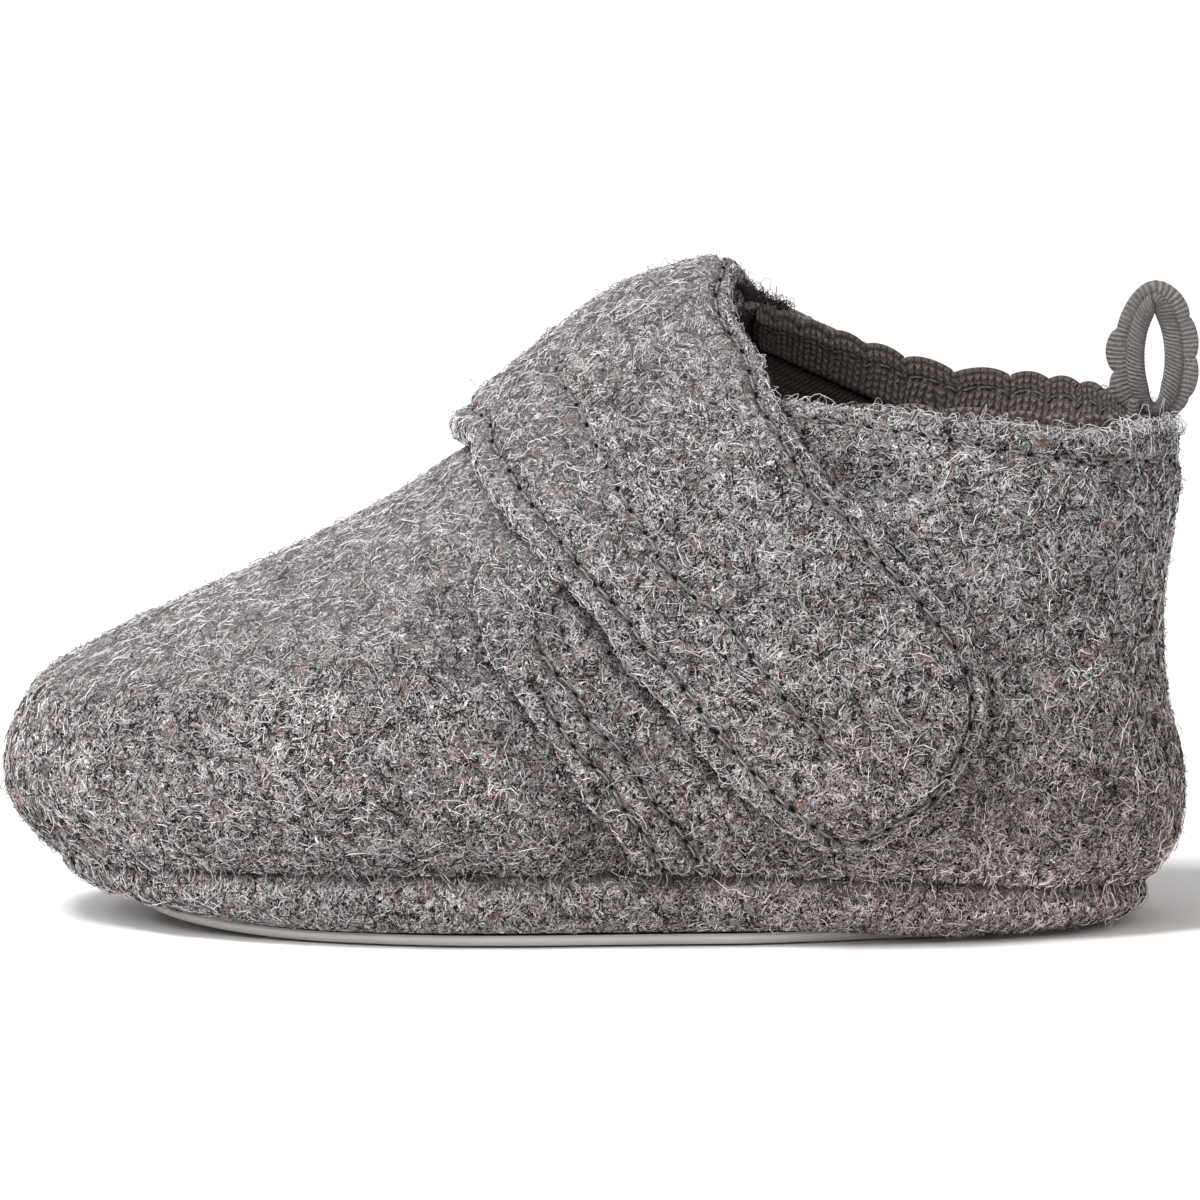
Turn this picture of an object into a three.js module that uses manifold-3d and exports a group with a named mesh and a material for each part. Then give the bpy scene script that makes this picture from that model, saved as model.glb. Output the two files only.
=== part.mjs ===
// A baby's house slipper of boiled wool, for the left foot.
// The toe points to -X, the heel to +X, and the outer side of the foot faces -Y.
// The flat underside of the sole lies on Z = 0. All lengths are millimetres.

import * as THREE from "three";
import { mergeVertices } from "three/addons/utils/BufferGeometryUtils.js";
import Module from "manifold-3d";

const wasm = await Module();
wasm.setup();

const TURN = 2 * Math.PI;
const OUTER = -1; // the side of the foot that faces -Y
const INNER = 1;

// A table's rows as objects, by its column names.
const table = (columns, rows) =>
  rows.map((row) => Object.fromEntries(columns.map((name, i) => [name, row[i]])));

// The whole slipper
const LENGTH = 130; // toe tip to heel, over the wool
const BALL_WIDTH = 60; // over the wool, at the ball of the foot
const INSTEP_HEIGHT = 70; // floor to the front of the mouth, over the upper
const COLLAR_HEIGHT = 58.2; // floor to the mouth at the side of the ankle
const HEEL_HEIGHT = 54.3; // floor to the mouth at the heel
const TOE_SWING = 3.5; // how far the toe leans to the inner side
const TOE_SPRING = 1.7; // how far the tread rises under the toes

// The materials and what is left between two pieces
const UPPER_WALL = 2.8;
const STRAP_THICK = 2.8;
const FACING_THICK = 1.6;
const FACING_BACK_THICK = 0.6; // the facing thins out to this behind its seams
const OUTSOLE_THICK = 1.4;
const SOLE_FLOOR = 2.4; // felt under the insole
const INSOLE_THICK = 2.4;
const TAPE_THICK = 1.0;
const SEAM_GAP = 0.3;
const STRAP_LIFT = 0.4; // under the strap, where it lies on the upper
const INSOLE_CLEARANCE = 0.4;

// The sole's edge: how far it is pulled in from the seam
const SOLE_EDGE = {
  bulge: { toe: 2.2, side: -0.8, heel: 0.4, height: 0.5 },
  foot: { toe: 5.6, side: 1.0, heel: 3.2 },
  outsoleTop: { toe: 8.6, side: 1.2, heel: 5.2 },
  outsoleFoot: { toe: 9.4, side: 1.7, heel: 5.8 },
};
const SPRING_START = 0.285; // share of LENGTH behind the toe from where the tread is flat
const SWING_START = 0.4; // share of LENGTH behind the toe from where the middle is straight

// The collar tape: an elastic edging sewn inside the mouth, with small scallops on top
const TAPE_DEPTH = 5.2; // below the mouth's edge
const TAPE_STAND = 0.5; // above the edge, between two scallops
const SCALLOP_RISE = 0.9;
const SCALLOP_COUNT = 26;
const SCALLOPS_FADE = { from: 1, to: 3 }; // scallops off the heel over which they start
const TAPE_REACH = { outer: 0.38, inner: 0.44 }; // shares of a turn from the heel to its ends

// The pull loop: a closed bight of the same edging, standing over the heel
const LOOP_WIDTH = 5.6; // between the middles of its two limbs
const LOOP_HEIGHT = 12.6; // between the middles of its top and bottom
const LOOP_BAND = 3.4; // width of the edging
const LOOP_BAND_FOOT = 2.4; // width where it is gathered at the collar
const LOOP_GATHER = 0.5; // share of the half height from which it narrows to that
const LOOP_THICK = 1.6;
const LOOP_SCALLOPS = 7;
const LOOP_SCALLOP_RISE = 0.5;
const LOOP_BACK = 2.8; // from the heel's outside to the loop's middle
const LOOP_TAB = { width: 3.4, depth: 5.0, thick: 1.4 };

// Divisions of the faceted solids
const AROUND_STEPS = 56;
const UPPER_STEPS = 22;
const STRAP_STEPS = { along: 60, across: 8 };
const FACING_STEPS = { along: 14, across: 4 };
const STEPS_PER_SCALLOP = 4;
const LOOP_STEPS = 42;
const LOOP_CORNERS = 8;

// The upper as rings, from the sole seam to the mouth.
// toe, heel: how far the ring's ends lie behind the toe tip and before the heel, of LENGTH.
// toeRise, sideRise, heelRise: its heights, of INSTEP_HEIGHT, COLLAR_HEIGHT and HEEL_HEIGHT.
// width: of BALL_WIDTH. blunt: how square its front is. climb, innerClimb: how late it rises
// to its front on the outer and the inner side.
const UPPER_RINGS = table(
  ["toe", "toeRise", "width", "sideRise", "heel", "heelRise", "blunt", "climb", "innerClimb"],
  [
    [0.050, 0.100, 0.850, 0.137, 0.035, 0.083, 2.5, 2, 2],
    [0.015, 0.165, 0.940, 0.215, 0.009, 0.152, 2.5, 2, 2],
    [0.000, 0.245, 0.985, 0.305, 0.000, 0.262, 2.5, 2, 2],
    [0.027, 0.368, 0.965, 0.425, 0.008, 0.385, 2.5, 2, 2],
    [0.100, 0.453, 0.915, 0.545, 0.019, 0.525, 2.3, 2, 2],
    [0.223, 0.561, 0.850, 0.665, 0.020, 0.660, 2.2, 2, 2],
    [0.346, 0.683, 0.785, 0.785, 0.012, 0.790, 2.2, 2, 2],
    [0.455, 0.855, 0.728, 0.885, 0.005, 0.890, 2.2, 2.5, 2],
    [0.546, 0.974, 0.700, 0.950, 0.005, 0.950, 2.2, 4, 1.7],
    [0.620, 1.000, 0.685, 1.000, 0.005, 1.000, 2.3, 6, 1.5],
  ],
);
const HEEL_BLUNT = 2.5;
const RING_LEAN = 0.2; // the share of a ring's rise from heel to toe that is an even slope

// How wide the foot is on its outer and inner side, as shares, along the length from the toe
const FOOT_PLAN = table(
  ["at", "outer", "inner"],
  [
    [0.00, 1.00, 1.00],
    [0.32, 1.04, 1.00],
    [0.60, 0.95, 0.88],
    [0.85, 0.97, 0.96],
    [1.00, 0.96, 0.96],
  ],
);

// The strap's two edges in side view, from its tip on the outer side, over the instep and
// down the inner side to the sole. at: of LENGTH from the toe. rise: of INSTEP_HEIGHT.
// onFacing: how far its front edge is lifted by the end of the facing under it.
const STRAP_ROWS = table(
  ["side", "frontAt", "frontRise", "rearAt", "rearRise", "onFacing"],
  [
    [OUTER, 0.735, 0.175, 0.769, 0.215, 0],
    [OUTER, 0.685, 0.179, 0.805, 0.292, 0],
    [OUTER, 0.638, 0.232, 0.823, 0.379, 0],
    [OUTER, 0.589, 0.315, 0.815, 0.462, 0],
    [OUTER, 0.549, 0.404, 0.784, 0.544, 0.5],
    [OUTER, 0.512, 0.490, 0.745, 0.624, 1],
    [OUTER, 0.475, 0.562, 0.708, 0.703, 1],
    [OUTER, 0.444, 0.624, 0.676, 0.789, 1],
    [OUTER, 0.420, 0.680, 0.652, 0.880, 0.5],
    [OUTER, 0.406, 0.723, 0.636, 0.955, 0],
    [OUTER, 0.400, 0.748, 0.623, 1.000, 0],
    [INNER, 0.403, 0.724, 0.635, 0.966, 0],
    [INNER, 0.418, 0.650, 0.654, 0.900, 0],
    [INNER, 0.443, 0.550, 0.675, 0.779, 0],
    [INNER, 0.469, 0.443, 0.694, 0.643, 0],
    [INNER, 0.492, 0.343, 0.709, 0.500, 0],
    [INNER, 0.514, 0.236, 0.723, 0.357, 0],
    [INNER, 0.531, 0.128, 0.735, 0.128, 0],
  ],
);
const STRAP_LEVEL = 0.4; // share of the strap's width in which it comes down off the facing
const FACING_COVERED = 0.8; // share of the facing's length from which it thins for the strap
const LOWEST_EDGE = 0.025; // how far up the upper a lapped piece ends over the sole seam
const SEARCH_STEPS = 30;
const NORMAL_STEP = 0.001;
const MERGE_DISTANCE = 0.0001;

// The facing: the doubled front edge of the outer quarter, lapped over the vamp, from the
// sole seam up and round its corner to under the strap. Shares as for the strap.
const FACING_ROWS = table(
  ["side", "frontAt", "frontRise", "rearAt", "rearRise"],
  [
    [OUTER, 0.539, 0.127, 0.592, 0.132],
    [OUTER, 0.505, 0.219, 0.573, 0.227],
    [OUTER, 0.472, 0.309, 0.539, 0.309],
    [OUTER, 0.438, 0.396, 0.505, 0.403],
    [OUTER, 0.408, 0.488, 0.482, 0.466],
    [OUTER, 0.402, 0.554, 0.465, 0.524],
    [OUTER, 0.416, 0.604, 0.470, 0.560],
    [OUTER, 0.446, 0.633, 0.484, 0.583],
  ],
);

const mix = THREE.MathUtils.lerp;
const TOE_X = -LENGTH / 2;
const HEEL_X = LENGTH / 2;

// A smooth curve through the values of one column, at a share of the way down the rows.
function columnAt(rows, column, share) {
  const last = rows.length - 1;
  const place = THREE.MathUtils.clamp(share, 0, 1) * last;
  const i = Math.min(Math.floor(place), last - 1);
  const value = (k) => rows[THREE.MathUtils.clamp(k, 0, last)][column];
  const t = place - i;
  const before = (value(i + 1) - value(i - 1)) / 2;
  const after = (value(i + 2) - value(i)) / 2;
  const rest = 1 - t;
  return (
    value(i) * rest * rest * (1 + 2 * t) +
    value(i + 1) * t * t * (3 - 2 * t) +
    before * t * rest * rest -
    after * t * t * rest
  );
}

// One side's share of the foot's width at x.
function footShare(x, side) {
  const column = side === OUTER ? "outer" : "inner";
  const at = THREE.MathUtils.clamp((x - TOE_X) / LENGTH, 0, 1);
  const i = Math.min(
    FOOT_PLAN.findLastIndex((row) => row.at <= at),
    FOOT_PLAN.length - 2,
  );
  const [a, b] = [FOOT_PLAN[i], FOOT_PLAN[i + 1]];
  return mix(a[column], b[column], THREE.MathUtils.smoothstep(at, a.at, b.at));
}

// The foot's middle line leans to the inner side towards the toe.
function middleLine(x) {
  const ahead = Math.max(0, SWING_START - (x - TOE_X) / LENGTH) / SWING_START;
  return TOE_SWING * ahead * ahead;
}

// The ring at a share of the way up the upper, in millimetres.
function ringAt(up) {
  const share = (column) => columnAt(UPPER_RINGS, column, up);
  const front = TOE_X + share("toe") * LENGTH;
  const back = HEEL_X - share("heel") * LENGTH;
  return {
    middle: (front + back) / 2,
    half: (back - front) / 2,
    halfWidth: (share("width") * BALL_WIDTH) / 2,
    toeZ: share("toeRise") * INSTEP_HEIGHT,
    sideZ: share("sideRise") * COLLAR_HEIGHT,
    heelZ: share("heelRise") * HEEL_HEIGHT,
    blunt: share("blunt"),
    climb: share("climb"),
    innerClimb: share("innerClimb"),
  };
}

// The ring's height on one side, where c runs from -1 at its front to 1 at its back.
function ringHeight(ring, side, c) {
  const lean = RING_LEAN * (ring.toeZ - ring.heelZ);
  const climb = side === OUTER ? ring.climb : ring.innerClimb;
  return c < 0
    ? ring.sideZ - lean * c + (ring.toeZ - ring.sideZ - lean) * Math.pow(-c, climb)
    : ring.sideZ - lean * c + (ring.heelZ - ring.sideZ + lean) * c * c;
}

// The upper's outside. around: 0 heel, 0.25 outer side, 0.5 toe, 0.75 inner side.
// up: 0 at the sole seam, 1 at the mouth.
function upperPoint(around, up) {
  const ring = ringAt(up);
  const cos = Math.cos(around * TURN);
  const sin = Math.sin(around * TURN);
  const power = 2 / (cos < 0 ? ring.blunt : HEEL_BLUNT);
  const c = Math.sign(cos) * Math.pow(Math.abs(cos), power);
  const x = ring.middle + ring.half * c;
  const reach = ring.halfWidth * Math.pow(Math.abs(sin), power);
  const side = sin >= 0 ? OUTER : INNER;
  const y = side * reach * footShare(x, side);
  return new THREE.Vector3(x, y + middleLine(x), ringHeight(ring, side, c));
}

// The direction straight out of the upper at a place.
function upperNormal(around, up) {
  const [before, after] = [around - NORMAL_STEP, around + NORMAL_STEP];
  const [below, above] = [Math.max(0, up - NORMAL_STEP), Math.min(1, up + NORMAL_STEP)];
  const turn = upperPoint(after, up).sub(upperPoint(before, up));
  const rise = upperPoint(around, above).sub(upperPoint(around, below));
  return rise.cross(turn).normalize();
}

// The upper's surface moved straight out by a distance, or in where it is negative.
function upperAt(around, up, out) {
  return upperPoint(around, up).addScaledVector(upperNormal(around, up), out);
}

// The place [around, up] on one side of the upper whose side view is (x, z).
function placeOnUpper(side, x, z) {
  const aroundAt = (ring) => {
    const c = THREE.MathUtils.clamp((x - ring.middle) / ring.half, -1, 1);
    const blunt = c < 0 ? ring.blunt : HEEL_BLUNT;
    const cos = Math.sign(c) * Math.pow(Math.abs(c), blunt / 2);
    const turn = Math.acos(cos) / TURN;
    return { c, around: side === OUTER ? turn : 1 - turn };
  };
  let low = 0;
  let high = 1;
  for (let i = 0; i < SEARCH_STEPS; i++) {
    const up = (low + high) / 2;
    const ring = ringAt(up);
    if (ringHeight(ring, side, aroundAt(ring).c) < z) low = up;
    else high = up;
  }
  return { around: aroundAt(ringAt(high)).around, up: Math.max(high, LOWEST_EDGE) };
}

// A closed solid from points and faces; a solid that came out inside out is turned.
function solid(points, faces) {
  const volume = faces.reduce((sum, [a, b, c]) => {
    const normal = points[b].clone().cross(points[c]);
    return sum + points[a].dot(normal);
  }, 0);
  const turned = volume < 0 ? faces.map(([a, b, c]) => [a, c, b]) : faces;
  const geometry = new THREE.BufferGeometry().setFromPoints(points);
  geometry.setIndex(turned.flat());
  return geometry;
}

const quad = (a, b, c, d) => [
  [a, b, c],
  [a, c, d],
];

// The side faces of a loft: each ring joined to the next, all with the same count of points.
function bands(rings, count, wrap) {
  const faces = [];
  for (let k = 0; k < rings - (wrap ? 0 : 1); k++)
    for (let i = 0; i < count; i++) {
      const j = (i + 1) % count;
      const here = k * count;
      const next = ((k + 1) % rings) * count;
      faces.push(...quad(here + i, here + j, next + j, next + i));
    }
  return faces;
}

// A solid through rings, the last one joined to the first.
function tubeSolid(rings) {
  return solid(rings.flat(), bands(rings.length, rings[0].length, true));
}

// A solid through rings that go round the foot, its first and last ring closed by
// strips straight across the foot, from a point on the outer side to its fellow.
function plateSolid(rings) {
  const count = rings[0].length;
  const faces = bands(rings.length, count, false);
  const close = (start, flip) => {
    for (let i = 0; i < count / 2; i++) {
      const [a, b] = [start + i, start + i + 1];
      const [d, c] = [start + ((count - i) % count), start + count - i - 1];
      const strip = [a, b, c, d].filter((v, k, all) => all.indexOf(v) === k);
      if (flip) strip.reverse();
      faces.push([strip[0], strip[1], strip[2]]);
      if (strip.length === 4) faces.push([strip[0], strip[2], strip[3]]);
    }
  };
  close(0, true);
  close((rings.length - 1) * count, false);
  return solid(rings.flat(), faces);
}

// A solid between two sheets of points, rows by columns, closed all round their edge.
function sheetSolid(outside, inside) {
  const rows = outside.length;
  const columns = outside[0].length;
  const sheet = rows * columns;
  const points = [...outside.flat(), ...inside.flat()];
  const faces = [];
  const at = (r, c) => r * columns + c;
  for (let r = 0; r < rows - 1; r++)
    for (let c = 0; c < columns - 1; c++) {
      const corners = [at(r, c), at(r, c + 1), at(r + 1, c + 1), at(r + 1, c)];
      faces.push(...quad(...corners));
      faces.push(...quad(...corners.map((v) => v + sheet).reverse()));
    }
  const edge = [];
  for (let c = 0; c < columns - 1; c++) edge.push(at(0, c));
  for (let r = 0; r < rows - 1; r++) edge.push(at(r, columns - 1));
  for (let c = columns - 1; c > 0; c--) edge.push(at(rows - 1, c));
  for (let r = rows - 1; r > 0; r--) edge.push(at(r, 0));
  edge.forEach((a, i) => {
    const b = edge[(i + 1) % edge.length];
    faces.push(...quad(b, a, a + sheet, b + sheet));
  });
  return solid(points, faces);
}

const steps = (count, make) => Array.from({ length: count }, (_, i) => make(i));
const aroundFoot = (make) => steps(AROUND_STEPS, (i) => make(i / AROUND_STEPS));

// The upper: one wall of wool, open at the mouth and underneath.
function upperGeometry() {
  const ring = (up, out) => aroundFoot((around) => upperAt(around, up, out));
  const ups = steps(UPPER_STEPS + 1, (k) => k / UPPER_STEPS);
  const outside = ups.map((up) => ring(up, 0));
  const inside = ups.map((up) => ring(up, -UPPER_WALL)).reverse();
  return tubeSolid([...outside, ...inside]);
}

// How far the tread has left the floor at x.
const soleFront = upperPoint(0.5, 0).x;
const soleBack = upperPoint(0, 0).x;
const soleHalfWidth = ringAt(0).halfWidth;
function spring(x) {
  const start = TOE_X + SPRING_START * LENGTH;
  const end = soleFront + SOLE_EDGE.foot.toe;
  const ahead = Math.max(0, (start - x) / (start - end));
  return TOE_SPRING * ahead * ahead;
}

// The seam's outline pulled in by an inset at toe, side and heel, at a height over the tread.
function soleOutline(inset, height) {
  return aroundFoot((around) => {
    const seam = upperPoint(around, 0);
    const share = (seam.x - soleFront) / (soleBack - soleFront);
    const x = mix(soleFront + inset.toe, soleBack - inset.heel, share);
    const y = seam.y * (1 - inset.side / soleHalfWidth);
    return new THREE.Vector3(x, y, height + spring(x));
  });
}

const SOLE_FOOT_Z = OUTSOLE_THICK + SEAM_GAP;
const SOLE_FLOOR_Z = SOLE_FOOT_Z + SOLE_FLOOR;
const INSOLE_Z = SOLE_FLOOR_Z + SEAM_GAP;

// The wool sole: a shallow cup whose rim is seen as a band under the upper.
function woolSoleGeometry() {
  const { foot, bulge } = SOLE_EDGE;
  const lower = (v) => v.setZ(v.z - SEAM_GAP);
  const rim = aroundFoot((around) => lower(upperPoint(around, 0)));
  const rimInside = aroundFoot((around) => lower(upperAt(around, 0, -UPPER_WALL)));
  const footRing = soleOutline(foot, SOLE_FOOT_Z);
  const bulgeRing = soleOutline(bulge, 0).map((v, i) =>
    v.setZ(mix(footRing[i].z, rim[i].z, bulge.height)),
  );
  const floor = rimInside.map((v) => {
    const x = v.x;
    return new THREE.Vector3(x, v.y, SOLE_FLOOR_Z + spring(x));
  });
  return plateSolid([footRing, bulgeRing, rim, rimInside, floor]);
}

// The outsole: a thin rubber sheet, a little smaller than the wool above it.
function outsoleGeometry() {
  const { outsoleTop, outsoleFoot } = SOLE_EDGE;
  return plateSolid([
    soleOutline(outsoleFoot, 0),
    soleOutline(outsoleTop, OUTSOLE_THICK / 2),
    soleOutline(outsoleTop, OUTSOLE_THICK),
  ]);
}

// The insole: a felt sheet that lies in the wool sole's cup.
function insoleGeometry() {
  const outline = (height) =>
    aroundFoot((around) => {
      const v = upperAt(around, 0, -UPPER_WALL - INSOLE_CLEARANCE);
      return v.setZ(height + spring(v.x));
    });
  return plateSolid([outline(INSOLE_Z), outline(INSOLE_Z + INSOLE_THICK)]);
}

// A lapped sheet's points, along it from its first row to its last and across it from its
// front edge to its rear one, out from the upper by a distance.
function lappedSheet(table, divisions, out) {
  const rows = table.map((row) => {
    const place = (at, rise) =>
      placeOnUpper(row.side, TOE_X + at * LENGTH, rise * INSTEP_HEIGHT);
    const front = place(row.frontAt, row.frontRise);
    const rear = place(row.rearAt, row.rearRise);
    return {
      frontAround: front.around,
      frontUp: front.up,
      rearAround: rear.around,
      rearUp: rear.up,
    };
  });
  return steps(divisions.along + 1, (i) =>
    steps(divisions.across + 1, (j) => {
      const along = i / divisions.along;
      const across = j / divisions.across;
      const edge = (column) => columnAt(rows, column, along);
      const around = mix(edge("frontAround"), edge("rearAround"), across);
      const up = Math.min(1, mix(edge("frontUp"), edge("rearUp"), across));
      return upperAt(around, up, out(along, across));
    }),
  );
}

// The strap: one sheet of wool from the sole seam on the inner side, over the instep,
// to its round tip on the outer side.
function strapGeometry() {
  const lift = (along, across) => {
    const onFacing = columnAt(STRAP_ROWS, "onFacing", along);
    const level = THREE.MathUtils.smoothstep(across, 0, STRAP_LEVEL);
    return STRAP_LIFT + onFacing * (1 - level) * (FACING_BACK_THICK + SEAM_GAP);
  };
  const top = (along, across) => lift(along, across) + STRAP_THICK;
  return sheetSolid(
    lappedSheet(STRAP_ROWS, STRAP_STEPS, top),
    lappedSheet(STRAP_ROWS, STRAP_STEPS, lift),
  );
}

// The facing, thick at its front edge, thin behind and thin where the strap covers it.
function facingGeometry() {
  const top = (along, across) => {
    const thin = Math.max(across ** 3, THREE.MathUtils.smoothstep(along, FACING_COVERED, 1));
    return SEAM_GAP + mix(FACING_THICK, FACING_BACK_THICK, thin);
  };
  return sheetSolid(
    lappedSheet(FACING_ROWS, FACING_STEPS, top),
    lappedSheet(FACING_ROWS, FACING_STEPS, () => SEAM_GAP),
  );
}

// The collar tape, its scallops fading out at the heel, where the pull loop stands.
function collarTapeGeometry() {
  const columns = SCALLOP_COUNT * STEPS_PER_SCALLOP;
  const below = (around) => {
    const edge = upperPoint(around, 1);
    return placeOnUpper(around < 0 ? INNER : OUTER, edge.x, edge.z - TAPE_DEPTH);
  };
  const rows = (inset) =>
    steps(columns + 1, (i) => {
      const share = i / columns;
      const around = mix(-TAPE_REACH.inner, TAPE_REACH.outer, share);
      const fromHeel = Math.abs(2 * share - 1) * SCALLOP_COUNT;
      const scallop = SCALLOP_RISE * Math.abs(Math.sin(Math.PI * share * SCALLOP_COUNT));
      const { from, to } = SCALLOPS_FADE;
      const stand = (TAPE_STAND + scallop) * THREE.MathUtils.smoothstep(fromHeel, from, to);
      const foot = below(around);
      const edge = upperAt(around, 1, inset);
      const top = edge.clone().setZ(edge.z + stand);
      return [upperAt(foot.around, foot.up, inset), edge, top];
    });
  const outside = -UPPER_WALL - SEAM_GAP;
  return sheetSolid(rows(outside), rows(outside - TAPE_THICK));
}

// A manifold solid of a geometry, and a geometry of a manifold solid.
function manifoldOf(geometry) {
  const merged = mergeVertices(geometry, MERGE_DISTANCE);
  return new wasm.Manifold(
    new wasm.Mesh({
      numProp: 3,
      vertProperties: merged.attributes.position.array,
      triVerts: new Uint32Array(merged.index.array),
    }),
  );
}

function geometryOf(manifold) {
  const { vertProperties, triVerts } = manifold.getMesh();
  const geometry = new THREE.BufferGeometry();
  geometry.setAttribute("position", new THREE.BufferAttribute(vertProperties, 3));
  geometry.setIndex(new THREE.BufferAttribute(triVerts, 1));
  return geometry;
}

// The pull loop: an upright oval of edging with scallops outside, and a tab that goes down
// inside the collar.
function pullLoopGeometry() {
  const middleX = upperPoint(0, 1).x - LOOP_BACK;
  const footZ = HEEL_HEIGHT + SEAM_GAP + LOOP_BAND_FOOT / 2;
  const middleZ = footZ + LOOP_HEIGHT / 2;
  const rings = steps(LOOP_STEPS, (i) => {
    const turn = (i / LOOP_STEPS) * TURN;
    const [cos, sin] = [Math.cos(turn), Math.sin(turn)];
    const middle = new THREE.Vector2(
      middleX + (LOOP_WIDTH / 2) * cos,
      middleZ + (LOOP_HEIGHT / 2) * sin,
    );
    const outward = new THREE.Vector2(LOOP_HEIGHT * cos, LOOP_WIDTH * sin).normalize();
    const atFoot = THREE.MathUtils.smoothstep(-sin, LOOP_GATHER, 1);
    const half = mix(LOOP_BAND, LOOP_BAND_FOOT, atFoot) / 2;
    const wave = Math.abs(Math.sin((turn + TURN / 4) * 0.5 * LOOP_SCALLOPS));
    const scallop = LOOP_SCALLOP_RISE * wave * (1 - atFoot);
    return steps(LOOP_CORNERS, (k) => {
      const corner = ((k + 0.5) / LOOP_CORNERS) * TURN;
      const across = Math.cos(corner);
      const reach = across * half + (across > 0 ? scallop : 0);
      return new THREE.Vector3(
        middle.x + outward.x * reach,
        (Math.sin(corner) * LOOP_THICK) / 2,
        middle.y + outward.y * reach,
      );
    });
  });
  const tabOutside = upperPoint(0, 1).x - UPPER_WALL - TAPE_THICK - 2 * SEAM_GAP;
  const tab = new THREE.BoxGeometry(
    LOOP_TAB.thick,
    LOOP_TAB.width,
    LOOP_TAB.depth + LOOP_BAND_FOOT,
  ).translate(
    tabOutside - LOOP_TAB.thick / 2,
    0,
    footZ + LOOP_BAND_FOOT - (LOOP_TAB.depth + LOOP_BAND_FOOT) / 2,
  );
  tab.deleteAttribute("normal");
  tab.deleteAttribute("uv");
  return geometryOf(manifoldOf(tubeSolid(rings)).add(manifoldOf(tab)));
}

const WOOL = { color: 0x8b8785, roughness: 1.0, metalness: 0.0 };
const FELT = { color: 0x55504d, roughness: 1.0, metalness: 0.0 };
const TAPE = { color: 0x3f3a39, roughness: 1.0, metalness: 0.0 };
const LOOP = { color: 0x6f6a69, roughness: 0.9, metalness: 0.0 };
const RUBBER = { color: 0x9c9a97, roughness: 0.6, metalness: 0.0 };
const PIECES = [
  { name: "outsole", make: outsoleGeometry, look: RUBBER },
  { name: "wool_sole", make: woolSoleGeometry, look: WOOL },
  { name: "insole", make: insoleGeometry, look: FELT },
  { name: "upper", make: upperGeometry, look: WOOL },
  { name: "quarter_facing", make: facingGeometry, look: WOOL },
  { name: "strap", make: strapGeometry, look: WOOL },
  { name: "collar_tape", make: collarTapeGeometry, look: TAPE },
  { name: "pull_loop", make: pullLoopGeometry, look: LOOP },
];

const slipper = new THREE.Group();
slipper.name = "baby_slipper";
for (const { name, make, look } of PIECES) {
  const mesh = new THREE.Mesh(make(), new THREE.MeshStandardMaterial(look));
  mesh.name = name;
  slipper.add(mesh);
}

export default slipper;
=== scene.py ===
"""A baby's slipper of boiled wool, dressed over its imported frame.

The frame gives each piece's place. The wool's surfaces are worked out again on fine grids, with
their lumps, seams and folds, and are then covered with single curled fibres.
"""

import math

import bpy
import numpy as np
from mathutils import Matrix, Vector


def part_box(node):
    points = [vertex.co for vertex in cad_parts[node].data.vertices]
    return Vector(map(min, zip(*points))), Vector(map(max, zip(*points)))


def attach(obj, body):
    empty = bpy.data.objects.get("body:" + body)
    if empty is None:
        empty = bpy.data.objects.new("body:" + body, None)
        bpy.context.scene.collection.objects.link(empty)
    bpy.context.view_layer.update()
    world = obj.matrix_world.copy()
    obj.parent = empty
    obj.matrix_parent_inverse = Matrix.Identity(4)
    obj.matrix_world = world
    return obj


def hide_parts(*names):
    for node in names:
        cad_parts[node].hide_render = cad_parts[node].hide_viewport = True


bl_info = {
    "name": "Boiled Wool Slipper",
    "version": (1, 0, 0),
    "blender": (4, 5, 0),
    "location": "View3D > Sidebar > Slipper",
    "description": "Dresses a baby's slipper with felted wool, stitching, edging and fibres",
    "category": "Add Mesh",
}

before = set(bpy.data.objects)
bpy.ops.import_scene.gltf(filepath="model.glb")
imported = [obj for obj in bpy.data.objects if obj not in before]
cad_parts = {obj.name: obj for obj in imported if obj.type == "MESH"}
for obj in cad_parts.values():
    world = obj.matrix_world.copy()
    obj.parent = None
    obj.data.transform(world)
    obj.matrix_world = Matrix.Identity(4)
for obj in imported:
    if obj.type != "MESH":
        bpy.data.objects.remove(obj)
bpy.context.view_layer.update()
UPPER_LOW, UPPER_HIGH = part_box("upper")

MM = 0.001
TURN = 2 * math.pi
OUTER, INNER = 0, 1

# How many points a ring round the foot has, its rings up the upper and up the band, the strap's
# and the facing's grid, a lap's outline, and what one batch takes at most.
AROUND = 400
UPPER_RISE = 96
BAND_RISE = 20
STRAP_GRID = (190, 66)
FACING_GRID = (100, 40)
OUTLINE_POINTS = 220
BATCH = 4000

# The most triangles that one mesh of fibres may have.
MOST_TRIANGLES = 199000

# Stray hairs on a square millimetre of wool.
FUZZ = 0.14

# The fixed direction that a cord's rings lean on.
TUBE_LEAN = np.array([0.13, 0.97, 0.21])

# Where stitches run, in mm in from the edge: at the mouth, on the edging, round the strap and
# across it, and along the facing.
COLLAR_ROW = 3.0
EDGING_ROW = 2.3
STRAP_EDGE_ROW = 2.3
STRAP_CROSS_ROW = 10.0
FACING_LINES = (2.6, 6.4)

# How deep a stitch's ends sink and how far a needle hole reaches to both sides, in mm.
SUNK = 0.22
HOLE = 0.40

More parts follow.
